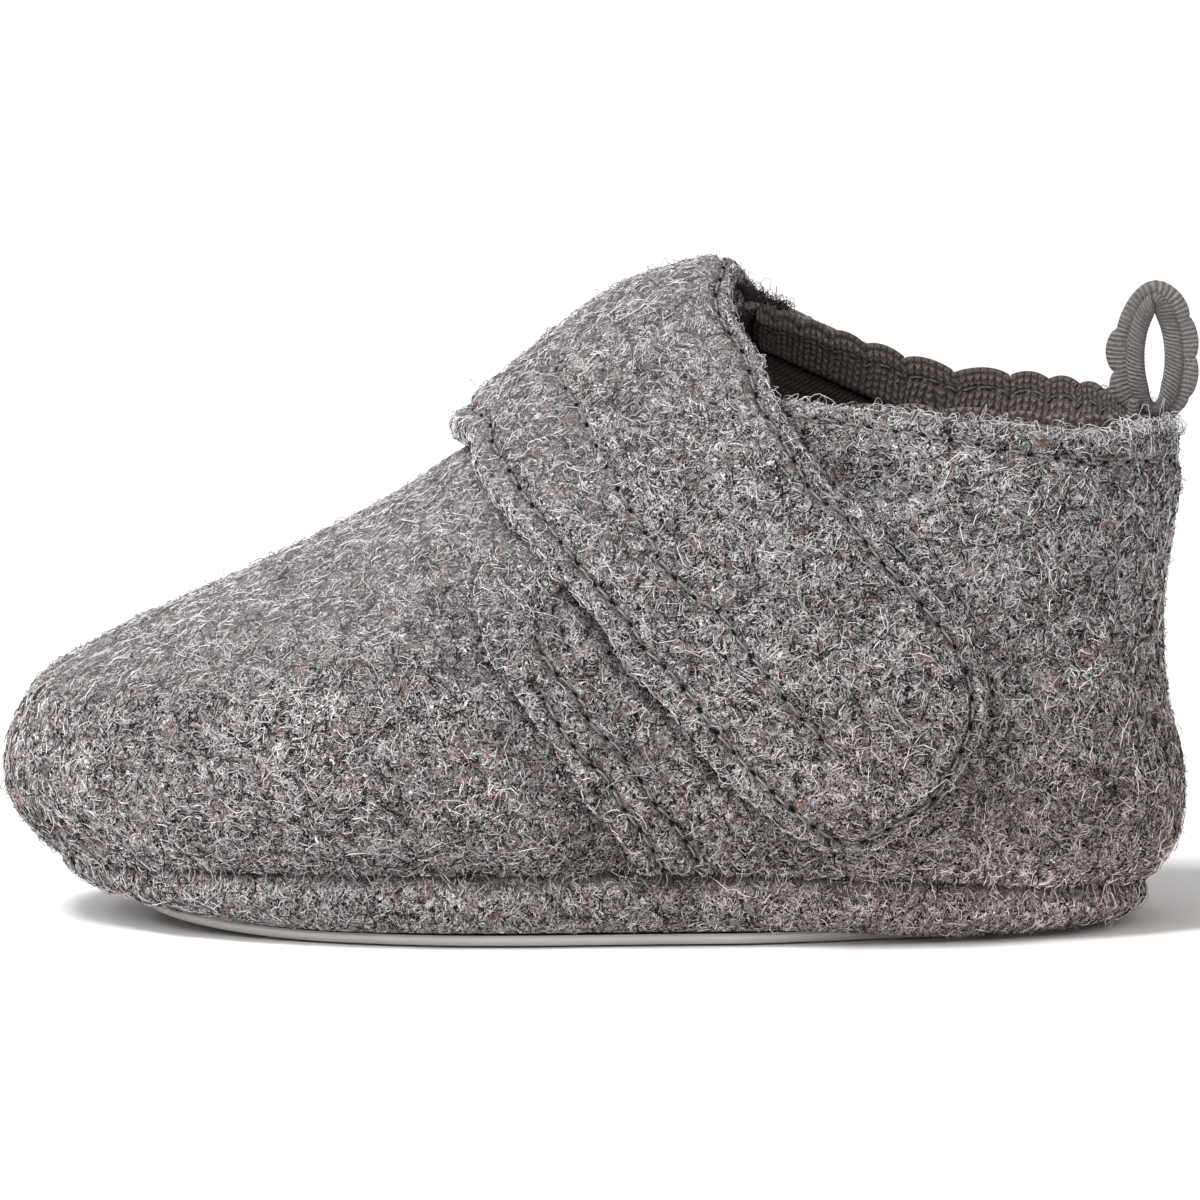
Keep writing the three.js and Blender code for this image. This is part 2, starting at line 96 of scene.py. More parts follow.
# The upper as rings, from the sole seam to the mouth, in shares of the slipper's sizes.
# Columns: toe, toe rise, width, side rise, heel, heel rise, blunt, climb, inner climb.
UPPER_RINGS = np.array([
    [0.050, 0.100, 0.850, 0.137, 0.035, 0.083, 2.5, 2.0, 2.0],
    [0.015, 0.165, 0.940, 0.215, 0.009, 0.152, 2.5, 2.0, 2.0],
    [0.000, 0.245, 0.985, 0.305, 0.000, 0.262, 2.5, 2.0, 2.0],
    [0.027, 0.368, 0.965, 0.425, 0.008, 0.385, 2.5, 2.0, 2.0],
    [0.100, 0.453, 0.915, 0.545, 0.019, 0.525, 2.3, 2.0, 2.0],
    [0.223, 0.561, 0.850, 0.665, 0.020, 0.660, 2.2, 2.0, 2.0],
    [0.346, 0.683, 0.785, 0.785, 0.012, 0.790, 2.2, 2.0, 2.0],
    [0.455, 0.855, 0.728, 0.885, 0.005, 0.890, 2.2, 2.5, 2.0],
    [0.546, 0.974, 0.700, 0.950, 0.005, 0.950, 2.2, 4.0, 1.7],
    [0.620, 1.000, 0.685, 1.000, 0.005, 1.000, 2.3, 6.0, 1.5],
])
HEEL_BLUNT = 2.5
RING_LEAN = 0.2

# The foot's width on its outer and inner side. Columns: at, outer, inner.
FOOT_PLAN = np.array([
    [0.00, 1.00, 1.00],
    [0.32, 1.04, 1.00],
    [0.60, 0.95, 0.88],
    [0.85, 0.97, 0.96],
    [1.00, 0.96, 0.96],
])
SWING_START = 0.4
SPRING_START = 0.285

# The strap from its tip on the outer side, over the instep and down the inner side.
# Columns: side, front at, front rise, rear at, rear rise, lift by the facing.
STRAP_ROWS = np.array([
    [OUTER, 0.735, 0.175, 0.769, 0.215, 0.0],
    [OUTER, 0.685, 0.179, 0.805, 0.292, 0.0],
    [OUTER, 0.638, 0.232, 0.823, 0.379, 0.0],
    [OUTER, 0.589, 0.315, 0.815, 0.462, 0.0],
    [OUTER, 0.549, 0.404, 0.784, 0.544, 0.5],
    [OUTER, 0.512, 0.490, 0.745, 0.624, 1.0],
    [OUTER, 0.475, 0.562, 0.705, 0.703, 1.0],
    [OUTER, 0.444, 0.624, 0.670, 0.789, 1.0],
    [OUTER, 0.420, 0.680, 0.643, 0.880, 0.5],
    [OUTER, 0.406, 0.723, 0.616, 0.955, 0.0],
    [OUTER, 0.400, 0.748, 0.597, 1.000, 0.0],
    [INNER, 0.403, 0.724, 0.634, 0.966, 0.0],
    [INNER, 0.418, 0.650, 0.658, 0.900, 0.0],
    [INNER, 0.443, 0.550, 0.675, 0.779, 0.0],
    [INNER, 0.469, 0.443, 0.694, 0.643, 0.0],
    [INNER, 0.492, 0.343, 0.709, 0.500, 0.0],
    [INNER, 0.514, 0.236, 0.723, 0.357, 0.0],
    [INNER, 0.531, 0.128, 0.735, 0.128, 0.0],
])
STRAP_LEVEL = 0.4
LOWEST_EDGE = 0.025

# The facing from the sole seam up and round its corner. Columns as for the strap.
FACING_ROWS = np.array([
    [OUTER, 0.539, 0.127, 0.592, 0.132, 0.0],
    [OUTER, 0.505, 0.219, 0.573, 0.227, 0.0],
    [OUTER, 0.472, 0.309, 0.539, 0.309, 0.0],
    [OUTER, 0.438, 0.396, 0.505, 0.403, 0.0],
    [OUTER, 0.408, 0.488, 0.482, 0.466, 0.0],
    [OUTER, 0.402, 0.554, 0.465, 0.524, 0.0],
    [OUTER, 0.416, 0.604, 0.470, 0.560, 0.0],
    [OUTER, 0.446, 0.633, 0.484, 0.583, 0.0],
])
FACING_COVERED = 0.8

# The sole's outlines: how far each is pulled in from the seam at toe, side and heel, in mm.
SOLE_FOOT = (5.6, 1.0, 3.2)
SOLE_BULGE = (1.8, -0.9, 0.2)
OUTSOLE_TOP = (8.6, 1.2, 5.2)
OUTSOLE_FOOT = (9.4, 1.7, 5.8)
HEEL_LIP = (0.020, 0.042)

# How much further in the band's hidden lower face reaches than the outsole's foot, in mm.
SEAT_INSET = (1.4, 3.6, 1.8)

# The wool sole's floor under the insole, in mm.
SOLE_FLOOR = 2.4

# The insole's rings from its underside to its top: how far inside the last, how high, in mm.
INSOLE_RINGS = ((3.6, 0.0), (3.2, 0.4), (3.2, 1.9), (3.4, 2.3), (3.9, 2.4))

# Soft folds of the wool, placed one by one. Columns: side, at, rise (as above), turn from the
# length in degrees, half length and half width in mm, height in mm (a trough is negative).
FOLDS = np.array([
    [OUTER, 0.462, 0.270, 122, 15.0, 2.6, -0.75],
    [OUTER, 0.412, 0.255, 118, 8.0, 4.0, 0.55],
    [OUTER, 0.385, 0.500, 100, 5.0, 2.6, -0.55],
    [OUTER, 0.330, 0.590, 25, 9.0, 2.2, 0.30],
    [OUTER, 0.725, 0.735, 158, 6.5, 1.8, -0.90],
    [OUTER, 0.860, 0.330, 95, 9.0, 3.5, -0.35],
    [OUTER, 0.925, 0.420, 70, 9.0, 3.0, 0.35],
    [OUTER, 0.250, 0.330, 15, 12.0, 4.5, 0.35],
    [OUTER, 0.140, 0.300, 70, 7.0, 3.5, -0.30],
    [INNER, 0.350, 0.400, 30, 10.0, 3.5, -0.45],
    [INNER, 0.440, 0.300, 120, 9.0, 3.0, -0.45],
    [INNER, 0.250, 0.300, 15, 12.0, 4.5, 0.35],
    [INNER, 0.820, 0.480, 100, 9.0, 3.5, -0.40],
    [INNER, 0.900, 0.320, 80, 9.0, 3.0, 0.35],
])


# ---- Sizes and colours that a user would change


def size(name, description, default, **more):
    """A length that the user can change."""
    return bpy.props.FloatProperty(
        name=name, description=description, default=default, unit="LENGTH", **more)


def paint(name, description, *default):
    """A colour that the user can change."""
    return bpy.props.FloatVectorProperty(
        name=name, description=description, default=default, subtype="COLOR", min=0, max=1)


def strength(name, description, default, **more):
    """A light's strength that the user can change."""
    return bpy.props.FloatProperty(name=name, description=description, default=default, **more)


class SlipperSizes(bpy.types.PropertyGroup):
    """The slipper's own sizes"""

    length: size("Length", "Toe tip to heel over the wool",
                 round(UPPER_HIGH[0] - UPPER_LOW[0], 4))
    ball_width: size("Ball width", "Over the wool at the ball of the foot", 0.060)
    instep_height: size("Instep height", "Floor to the front of the mouth",
                        round(UPPER_HIGH[2], 4))
    collar_height: size("Collar height", "Floor to the mouth at the ankle's side", 0.0582)
    heel_height: size("Heel height", "Floor to the mouth at the heel", 0.0543)
    toe_swing: size("Toe swing", "How far the toe leans to the inner side", 0.0035)
    toe_spring: size("Toe spring", "How far the tread rises under the toes", 0.0017)
    wall: size("Wall", "Thickness of the upper's wool", 0.0028)
    strap_thick: size("Strap", "Thickness of the strap", 0.0028)
    facing_thick: size("Facing", "Thickness of the facing at its front edge", 0.0016)
    outsole_thick: size("Outsole", "Thickness of the rubber under the sole", 0.0014)
    seam_gap: size("Seam gap", "Clearance between two pieces", 0.0003)


class WoolLook(bpy.types.PropertyGroup):
    """Colours of the slipper's materials"""

    ground: paint("Wool ground", "The shaded wool between the fibres", 0.016, 0.013, 0.013)
    middle: paint("Wool middle", "Most of the fibres", 0.43, 0.407, 0.411)
    light: paint("Wool light", "The lightest fibres", 0.96, 0.945, 0.965)
    fleck: paint("Wool fleck", "The few brown and rosy fibres", 0.36, 0.22, 0.20)
    lining: paint("Lining", "The knitted lining inside", 0.080, 0.065, 0.061)
    edging: paint("Edging", "The scalloped tape inside the mouth", 0.118, 0.098, 0.092)
    loop: paint("Pull loop", "The ribbed edging of the pull loop", 0.150, 0.138, 0.137)
    thread: paint("Thread", "The sewing thread", 0.30, 0.28, 0.28)
    rubber: paint("Outsole", "The thin outsole", 0.54, 0.53, 0.515)
    insole: paint("Insole", "The felt under the foot", 0.110, 0.098, 0.094)


class NapSizes(bpy.types.PropertyGroup):
    """The single fibres that cover the wool"""

    per_mm2: bpy.props.FloatProperty(
        name="Fibres", description="Fibres on a square millimetre of wool",
        default=2.85, min=0, max=6)
    length: size("Length", "Usual length of a fibre", 0.0031)
    radius: size("Radius", "Half the thickness of a fibre at its middle", 0.000052, precision=6)
    lift: size("Lift", "How high a usual fibre arches over the wool", 0.00015, precision=5)


class StageLook(bpy.types.PropertyGroup):
    """Camera, floor and lights"""

    elevation: bpy.props.FloatProperty(
        name="Elevation", description="The camera's height over the horizon",
        default=math.radians(7), subtype="ANGLE")
    distance: size("Distance", "From the camera to the slipper", 1.8)
    frame_width: size("Frame width", "What the picture's width covers at the slipper", 0.132)
    floor: paint("Floor", "The pale floor", 0.96, 0.96, 0.96)
    key: strength("Key light", "Strength of the soft light above the toe", 2.15, min=0)
    fill: strength("Fill light", "Strength of the soft light beside the camera", 0.6, min=0)
    near: strength("Near light", "Power of the small light beside the toe", 0.85, unit="POWER")
    sky: strength("Sky", "Strength of the even light all round", 0.55, min=0)


# ---- Curves, rings and surfaces, as whole arrays


def through_rows(table, share):
    """A smooth curve through a table's rows, at shares 0 to 1 of the way down them.

    Between rows a and b it is the cubic that leaves a with half the step from the row before a
    to b, and reaches b with half the step from a to the row after b.
    """
    last = len(table) - 1
    place = np.clip(share, 0, 1) * last
    i = np.minimum(place.astype(int), last - 1)
    t = (place - i)[..., None]
    rest = 1 - t
    row = lambda k: table[np.clip(i + k, 0, last)]
    before = (row(1) - row(-1)) / 2
    after = (row(2) - row(0)) / 2
    return (row(0) * rest**2 * (1 + 2 * t) + row(1) * t**2 * (3 - 2 * t)
            + before * t * rest**2 - after * t**2 * rest)


def eased(value, low, high):
    """0 below low, 1 above high, and 3 t^2 - 2 t^3 between."""
    t = np.clip((value - low) / (high - low), 0, 1)
    return t * t * (3 - 2 * t)


def unit(vectors):
    """Each vector divided by its length."""
    return vectors / np.maximum(np.linalg.norm(vectors, axis=-1, keepdims=True), 1e-12)


def run_along(path):
    """The distance from a path's start to each of its points, along it."""
    return np.concatenate([[0], np.cumsum(np.linalg.norm(np.diff(path, axis=0), axis=-1))])


class Last:
    """The slipper's outer form: rings round the foot, one over the other.

    A place on it is (around, up): around is 0 at the heel, 0.25 on the outer side, 0.5 at the
    toe and 0.75 on the inner side; up is 0 at the sole seam and 1 at the mouth.
    """

    def __init__(self, sizes):
        self.length = sizes.length
        self.ball = sizes.ball_width
        self.instep = sizes.instep_height
        self.collar = sizes.collar_height
        self.heel = sizes.heel_height
        self.swing = sizes.toe_swing
        self.spring = sizes.toe_spring
        self.toe_x = -self.length / 2
        self.heel_x = self.length / 2

    def ring(self, up):
        """The ring at a share of the way up, as columns of metres and shape numbers."""
        c = np.moveaxis(through_rows(UPPER_RINGS, up), -1, 0)
        front = self.toe_x + c[0] * self.length
        back = self.heel_x - c[4] * self.length
        return {
            "middle": (front + back) / 2, "half": (back - front) / 2,
            "half_width": c[2] * self.ball / 2, "toe_z": c[1] * self.instep,
            "side_z": c[3] * self.collar, "heel_z": c[5] * self.heel,
            "blunt": c[6], "climb": c[7], "inner_climb": c[8],
        }

    def height(self, ring, inner, c):
        """A ring's height where c runs from -1 at its front to 1 at its back.

        An even slope, and a rise to the front as a power of -c, or to the back as its square.
        """
        lean = RING_LEAN * (ring["toe_z"] - ring["heel_z"])
        climb = np.where(inner, ring["inner_climb"], ring["climb"])
        ahead = (ring["toe_z"] - ring["side_z"] - lean) * np.maximum(-c, 0) ** climb
        behind = (ring["heel_z"] - ring["side_z"] + lean) * np.maximum(c, 0) ** 2
        return ring["side_z"] - lean * c + ahead + behind

    def share(self, x, inner):
        """The share of the foot's width on one side at x, eased between the plan's rows."""
        at = np.clip((x - self.toe_x) / self.length, 0, 1)
        i = np.clip(np.searchsorted(FOOT_PLAN[:, 0], at, side="right") - 1, 0, len(FOOT_PLAN) - 2)
        side = np.where(inner, 2, 1)
        a, b = FOOT_PLAN[i, side], FOOT_PLAN[i + 1, side]
        low, high = FOOT_PLAN[i, 0], FOOT_PLAN[i + 1, 0]
        return a + (b - a) * eased(at, low, high)

    def point(self, around, up):
        """A rounded oblong: x follows |cos|^(2/n) and y follows |sin|^(2/n)."""
        ring = self.ring(up)
        cos, sin = np.cos(around * TURN), np.sin(around * TURN)
        power = 2 / np.where(cos < 0, ring["blunt"], HEEL_BLUNT)
        c = np.sign(cos) * np.abs(cos) ** power
        x = ring["middle"] + ring["half"] * c
        inner = sin < 0
        reach = ring["half_width"] * np.abs(sin) ** power * self.share(x, inner)
        ahead = np.maximum(0, SWING_START - (x - self.toe_x) / self.length) / SWING_START
        y = np.where(inner, reach, -reach) + self.swing * ahead**2
        return np.stack([x, y, self.height(ring, inner, c)], -1)

    def normal(self, around, up):
        """The direction out of the surface: one short step up crossed with one around."""
        step = 0.001
        turn = self.point(around + step, up) - self.point(around - step, up)
        rise = (self.point(around, np.minimum(up + step, 1))
                - self.point(around, np.maximum(up - step, 0)))
        return unit(np.cross(rise, turn))

    def at(self, around, up, out):
        """A place on the surface, moved straight out by a distance."""
        return self.point(around, up) + self.normal(around, up) * np.asarray(out)[..., None]

    def place(self, inner, x, z):
        """The place (around, up) on one side whose side view is (x, z), by halving."""
        def around_of(ring):
            c = np.clip((x - ring["middle"]) / ring["half"], -1, 1)
            blunt = np.where(c < 0, ring["blunt"], HEEL_BLUNT)
            turn = np.arccos(np.sign(c) * np.abs(c) ** (blunt / 2)) / TURN
            return c, np.where(inner, 1 - turn, turn)
        low, high = np.zeros_like(x), np.ones_like(x)
        for _ in range(30):
            up = (low + high) / 2
            ring = self.ring(up)
            under = self.height(ring, inner, around_of(ring)[0]) < z
            low, high = np.where(under, up, low), np.where(under, high, up)
        return around_of(self.ring(high))[1], np.maximum(high, LOWEST_EDGE)

    def rim(self, around):
        """How far up the mouth's edge lies: on the outer side it dips behind the strap."""
        edge = self.point(around, np.ones_like(around))
        x = edge[..., 0] / MM
        drop = (1.1 * eased(x, 10, 18) * (1 - eased(x, 54, 62)) + 2.7 * bell(x - 19.5, 6.5)) * MM
        drop = drop * (around % 1 < 0.5) * (x > 0)
        dipped = self.place(np.zeros(around.shape, bool), edge[..., 0], edge[..., 2] - drop)[1]
        return np.where(drop > 0.02 * MM, np.minimum(dipped, 1), 1.0)

    def sole_spring(self, x):
        """How far the tread has left the floor at x: a square of the way to the toe."""
        start = self.toe_x + SPRING_START * self.length
        end = self.point(np.array(0.5), np.array(0.0))[0] + SOLE_FOOT[0] * MM
        return self.spring * np.maximum(0, (start - x) / (start - end)) ** 2

    def sole_outline(self, around, inset, height):
        """The seam's outline pulled in at toe, side and heel, at a height over the tread."""
        inset = np.asarray(inset) * MM
        seam = self.point(around, np.zeros_like(around))
        front = self.point(np.array(0.5), np.array(0.0))[0]
        back = self.point(np.array(0.0), np.array(0.0))[0]
        half = self.ring(np.array(0.0))["half_width"]
        share = (seam[..., 0] - front) / (back - front)
        x = front + inset[..., 0] + share * (back - inset[..., 2] - front - inset[..., 0])
        y = seam[..., 1] * (1 - inset[..., 1] / half)
        return np.stack([x, y, height + self.sole_spring(x)], -1)


class Lap:
    """A sheet lapped over the last between two edges, as a function of (along, across)."""

    def __init__(self, last, rows):
        self.last = last
        inner = rows[:, 0] == INNER
        spot = lambda at, rise: last.place(
            inner, last.toe_x + rows[:, at] * last.length, rows[:, rise] * last.instep)
        self.rows = np.stack([*spot(1, 2), *spot(3, 4), rows[:, 5]], -1)

    def place(self, along, across):
        """Straight between the two edges in (around, up), each edge a smooth curve."""
        edge = through_rows(self.rows, along)
        around = edge[..., 0] + (edge[..., 2] - edge[..., 0]) * across
        up = edge[..., 1] + (edge[..., 3] - edge[..., 1]) * across
        return around, np.minimum(up, 1)

    def lifted(self, along):
        """How far the facing under it lifts the lap, as a share."""
        return through_rows(self.rows, along)[..., 4]

    def width(self, along):
        """The straight distance between the two edges."""
        a = self.last.point(*self.place(along, np.zeros_like(along)))
        b = self.last.point(*self.place(along, np.ones_like(along)))
        return np.linalg.norm(a - b, axis=-1)

    def outline(self):
        """The outline as a closed loop of (around, up), for telling what lies under it."""
        along = np.linspace(0, 1, OUTLINE_POINTS)
        front = np.stack(self.place(along, np.zeros(OUTLINE_POINTS)), -1)
        rear = np.stack(self.place(along[::-1], np.ones(OUTLINE_POINTS)), -1)
        return np.concatenate([front, rear])


def inside_loop(places, loop):
    """Which places lie inside a closed loop, by counting the edges to one side of each."""
    x, y = places[:, None, 0], places[:, None, 1]
    ax, ay = loop[:, 0], loop[:, 1]
    bx, by = np.roll(ax, -1), np.roll(ay, -1)
    spans = (ay > y) != (by > y)
    cut = (bx - ax) * (y - ay) / np.where(by == ay, 1e-12, by - ay) + ax
    return (spans & (x < cut)).sum(1) % 2 == 1


# ---- Noise and relief


def hashed(ix, iy, iz, seed):
    """A random number from 0 to 1 for each corner of a lattice, always the same."""
    h = (ix * 73856093) ^ (iy * 19349663) ^ (iz * 83492791) ^ (seed * 668265263)
    h = (h ^ (h >> 13)) & 0x7FFFFFFF
    h = (h * 1274126177) & 0x7FFFFFFF
    h = (h ^ (h >> 16)) & 0x7FFFFFFF
    h = (h * 668265263) & 0x7FFFFFFF
    return (h >> 7) / float(0x7FFFFFFF >> 7)


def noise(points, size, seed):
    """Smooth noise from -1 to 1 whose lumps are about `size` across.

    Random numbers at the corners of cubes, eased between them.
    """
    p = points / size + 517.0
    i = np.floor(p).astype(np.int64)
    f = p - i
    f = f * f * (3 - 2 * f)
    total = 0
    for dx in (0, 1):
        for dy in (0, 1):
            for dz in (0, 1):
                weight = (np.where(dx, f[..., 0], 1 - f[..., 0])
                          * np.where(dy, f[..., 1], 1 - f[..., 1])
                          * np.where(dz, f[..., 2], 1 - f[..., 2]))
                corner = hashed(i[..., 0] + dx, i[..., 1] + dy, i[..., 2] + dz, seed)
                total = total + weight * corner
    return total * 2 - 1


def wool_relief(points):
    """The felt's own unevenness: broad swells, clumps and small tufts, in metres."""
    return (0.30 * noise(points, 17 * MM, 3) + 0.20 * noise(points, 4.2 * MM, 5)
            + 0.15 * noise(points, 2.0 * MM, 7) + 0.08 * noise(points, 1.0 * MM, 9)) * MM


def fold_relief(last, points):
    """Soft troughs and ridges: each fades as a bell along and across its own line."""
    inner = points[..., 1] > 0
    total = np.zeros(points.shape[:-1])
    for side, at, rise, turn, half_length, half_width, height in FOLDS:
        x = (points[..., 0] - (last.toe_x + at * last.length)) / MM
        z = (points[..., 2] - rise * last.instep) / MM
        cos, sin = math.cos(math.radians(turn)), math.sin(math.radians(turn))
        along, across = x * cos + z * sin, -x * sin + z * cos
        share = np.exp(-(along / half_length) ** 2 - (across / half_width) ** 2)
        total += np.where(inner == (side == INNER), height * share, 0)
    return total * MM


def distance_to(points, path):
    """Each point's distance to the nearest of a path's close-set points."""
    flat = points.reshape(-1, 3)
    nearest = [np.sqrt(((flat[i:i + BATCH, None] - path[None]) ** 2).sum(-1).min(1))
               for i in range(0, len(flat), BATCH)]
    return np.concatenate(nearest).reshape(points.shape[:-1])


def bell(distance, half_width):
    """1 at no distance, falling as a bell."""
    return np.exp(-(distance / half_width) ** 2)


# ---- Meshes


def grid_faces(rows, columns, wrap_rows=False, wrap_columns=False):
    """Two triangles for each cell of a grid of points, joined round where it wraps."""
    r = np.arange(rows if wrap_rows else rows - 1)
    c = np.arange(columns if wrap_columns else columns - 1)
    r, c = np.meshgrid(r, c, indexing="ij")
    a = r * columns + c
    b = r * columns + (c + 1) % columns
    d = ((r + 1) % rows) * columns + c
    e = ((r + 1) % rows) * columns + (c + 1) % columns
    return np.concatenate([np.stack([a, b, e], -1).reshape(-1, 3),
                           np.stack([a, e, d], -1).reshape(-1, 3)])


def ladder_faces(start, count, flip):
    """Closes a ring round the foot with strips straight across, outer point to inner."""
    i = np.arange(count // 2)
    a, b = start + i, start + i + 1
    c, d = start + (count - i - 1) % count, start + (count - i) % count
    faces = np.concatenate([np.stack([a, b, c], -1), np.stack([a, c, d], -1)])
    faces = faces[(faces[:, 0] != faces[:, 1]) & (faces[:, 1] != faces[:, 2])
                  & (faces[:, 2] != faces[:, 0])]
    return faces[:, ::-1] if flip else faces


def outward(points, faces):
    """The faces, turned round where the solid that they close came out inside out."""
    a, b, c = points[faces[:, 0]], points[faces[:, 1]], points[faces[:, 2]]
    volume = np.einsum("ij,ij->i", a, np.cross(b, c)).sum()
    return faces[:, ::-1] if volume < 0 else faces


def capped(grid):
    """A solid from rings round the foot, closed straight across at both ends."""
    rows, count = grid.shape[:2]
    points = grid.reshape(-1, 3)
    faces = np.concatenate([
        grid_faces(rows, count, wrap_columns=True),
        ladder_faces(0, count, False), ladder_faces((rows - 1) * count, count, True)])
    return points, outward(points, faces)


def closed_round(grid):
    """A solid from a grid that closes on itself in both directions."""
    points = grid.reshape(-1, 3)
    faces = grid_faces(*grid.shape[:2], wrap_rows=True, wrap_columns=True)
    return points, outward(points, faces)


def new_piece(name, points, faces, material, uv=None, tone=None, node=None):
    """Puts whole arrays of points and triangles into a mesh that rides on the slipper."""
    mesh = bpy.data.meshes.new(name)
    mesh.vertices.add(len(points))
    mesh.vertices.foreach_set("co", np.ascontiguousarray(points, dtype=np.float32).ravel())
    mesh.loops.add(faces.size)
    mesh.loops.foreach_set("vertex_index", np.ascontiguousarray(faces, dtype=np.int32).ravel())
    mesh.polygons.add(len(faces))
    mesh.polygons.foreach_set("loop_start", np.arange(0, faces.size, 3, dtype=np.int32))
    mesh.polygons.foreach_set("use_smooth", np.ones(len(faces), dtype=bool))
    if uv is not None:
        layer = mesh.uv_layers.new(name="cloth")
        layer.data.foreach_set("uv", uv[faces.ravel()].astype(np.float32).ravel())
    if tone is not None:
        colour = mesh.color_attributes.new(name="tone", type="FLOAT_COLOR", domain="POINT")
        colour.data.foreach_set("color", tone.astype(np.float32).ravel())
    mesh.update(calc_edges=True)
    mesh.materials.append(material)
    piece = bpy.data.objects.new(name, mesh)
    bpy.context.scene.collection.objects.link(piece)
    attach(piece, "root")
    if node:
        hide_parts(node)
    return piece


def closed_sheet(top, bottom):
    """A solid from two grids of points whose borders are the same points.

    The bottom's border rows and columns are taken from the top, so the edge is closed.
    """
    rows, columns = top.shape[:2]
    number = np.arange(rows * columns).reshape(rows, columns)
    under = number.copy()
    inner = (rows - 2) * (columns - 2)
    under[1:-1, 1:-1] = rows * columns + np.arange(inner).reshape(rows - 2, columns - 2)
    points = np.concatenate([top.reshape(-1, 3), bottom[1:-1, 1:-1].reshape(-1, 3)])
    cells = grid_faces(rows, columns)
    faces = np.concatenate([cells, under.ravel()[cells][:, ::-1]])
    return points, outward(points, faces)


def bunched(count, tight):
    """Numbers 0 to 1, closer together near both ends: an even run less a share of its sine."""
    s = np.linspace(0, 1, count)
    return s - tight * np.sin(TURN * s) / TURN


def tube(path, radius, sides):
    """A round cord along a path, with sides joined in rings and pointed ends.

    Each ring lies across the path in a frame that leans on one fixed direction.
    """
    along = unit(np.gradient(path, axis=0))
    across = unit(np.cross(along, TUBE_LEAN))
    up = np.cross(across, along)
    turn = np.arange(sides) / sides * TURN
    ring = (np.cos(turn)[None, :, None] * across[:, None]
            + np.sin(turn)[None, :, None] * up[:, None])
    points = (path[:, None] + ring * radius[:, None, None]).reshape(-1, 3)
    first, last_ring = len(points), (len(path) - 1) * sides
    points = np.concatenate([points, path[:1], path[-1:]])
    i = np.arange(sides)
    faces = np.concatenate([
        grid_faces(len(path), sides, wrap_columns=True),
        np.stack([np.full(sides, first), (i + 1) % sides, i], -1),
        np.stack([np.full(sides, first + 1), last_ring + i, last_ring + (i + 1) % sides], -1)])
    return points, outward(points, faces)


def joined(parts):
    """Several (points, faces) as one."""
    offset, points, faces = 0, [], []
    for p, f in parts:
        points.append(p)
        faces.append(f + offset)
        offset += len(p)
    return np.concatenate(points), np.concatenate(faces)


def opaque(colour):
    """Colours with a full fourth channel."""
    return np.concatenate([colour, np.ones((len(colour), 1))], -1)


def painted_warm_cast(points):
    """Painted light and shade: a faint warm brown cast for the dim, warm bounced light that grows
    downwards and towards the heel, and a paler lower edge there, painted light against its shade.
    """
    # Painted shade: the warm brown cast, growing downwards and towards the heel.
    low = 1 - eased(points[..., 2], 8 * MM, 48 * MM)
    share = low * (0.35 + 0.65 * eased(points[..., 0], -30 * MM, 45 * MM))
    # Painted light: the lower edge towards the heel is made up to 35% paler.
    paler_low_edge = 1 - eased(points[..., 2], 7 * MM, 11 * MM)
    paler_low_edge = 1 + 0.35 * paler_low_edge * eased(points[..., 0], 5 * MM, 45 * MM)
    return (1 - share[..., None] * np.array([0.11, 0.175, 0.21])) * paler_low_edge[..., None]


def painted_shade_tone(points, pressed):
    """Painted shade at each point: dark where the wool is pressed in seams, stitch rows and beside
    laps' edges, which the first ones give; the rest, on rims, insides and undersides, are painted
    at 0.8. Times the painted warm cast.
    """
    shade = 1 - 0.75 * pressed.ravel() ** 2
    # Painted shade: every point past the outside grid is darkened to 0.8.
    shade = np.concatenate([shade, np.full(len(points) - pressed.size, 0.8)])
    return opaque(shade[:, None] * painted_warm_cast(points))


class Cloth:
    """A grid of points on a piece's outside, open to reading anywhere between its points.

    A place on it is (row, column), counted in cells. What lies between four points is weighed
    from them in both directions. Columns join round where the piece is a ring.
    """

    def __init__(self, grid, outside, ring=False, pressed=None):
        self.grid, self.ring = grid, ring
        self.pressed = np.zeros(grid.shape[:2]) if pressed is None else pressed
        self.down = np.gradient(grid, axis=0)
        if ring:
            self.across = (np.roll(grid, -1, 1) - np.roll(grid, 1, 1)) / 2
        else:
            self.across = np.gradient(grid, axis=1)
        self.normals = unit(np.cross(self.down, self.across))
        if (self.normals * outside).sum() < 0:
            self.normals = -self.normals

    def read(self, table, row, column):
        """A table of the grid's size, read at places between its points."""
        rows, columns = table.shape[:2]
        row = np.clip(row, 0, rows - 1.001)
        r = row.astype(int)
        f = (row - r)[..., None]
        if self.ring:
            c = np.floor(column).astype(int)
            g = (column - c)[..., None]
            c, d = c % columns, (c + 1) % columns
        else:
            column = np.clip(column, 0, columns - 1.001)
            c = column.astype(int)
            g = (column - c)[..., None]
            d = c + 1
        near = table[r, c] * (1 - g) + table[r, d] * g
        far = table[r + 1, c] * (1 - g) + table[r + 1, d] * g
        return near * (1 - f) + far * f

    def areas(self):
        """The area of the cell that starts at each point."""
        return np.linalg.norm(np.cross(self.down, self.across), axis=-1)

    def scatter(self, rng, per_mm2, weight):
        """Places spread evenly over the cloth, thinned or thickened by a weight for each cell."""
        share = self.areas() * weight
        share[-1] = 0
        if not self.ring:
            share[:, -1] = 0
        count = int(share.sum() / MM**2 * per_mm2)
        steps = np.cumsum(share.ravel())
        cell = np.searchsorted(steps, rng.random(count) * steps[-1])
        cell = np.minimum(cell, share.size - 1)
        row, column = np.divmod(cell, share.shape[1])
        return row + rng.random(count), column + rng.random(count)


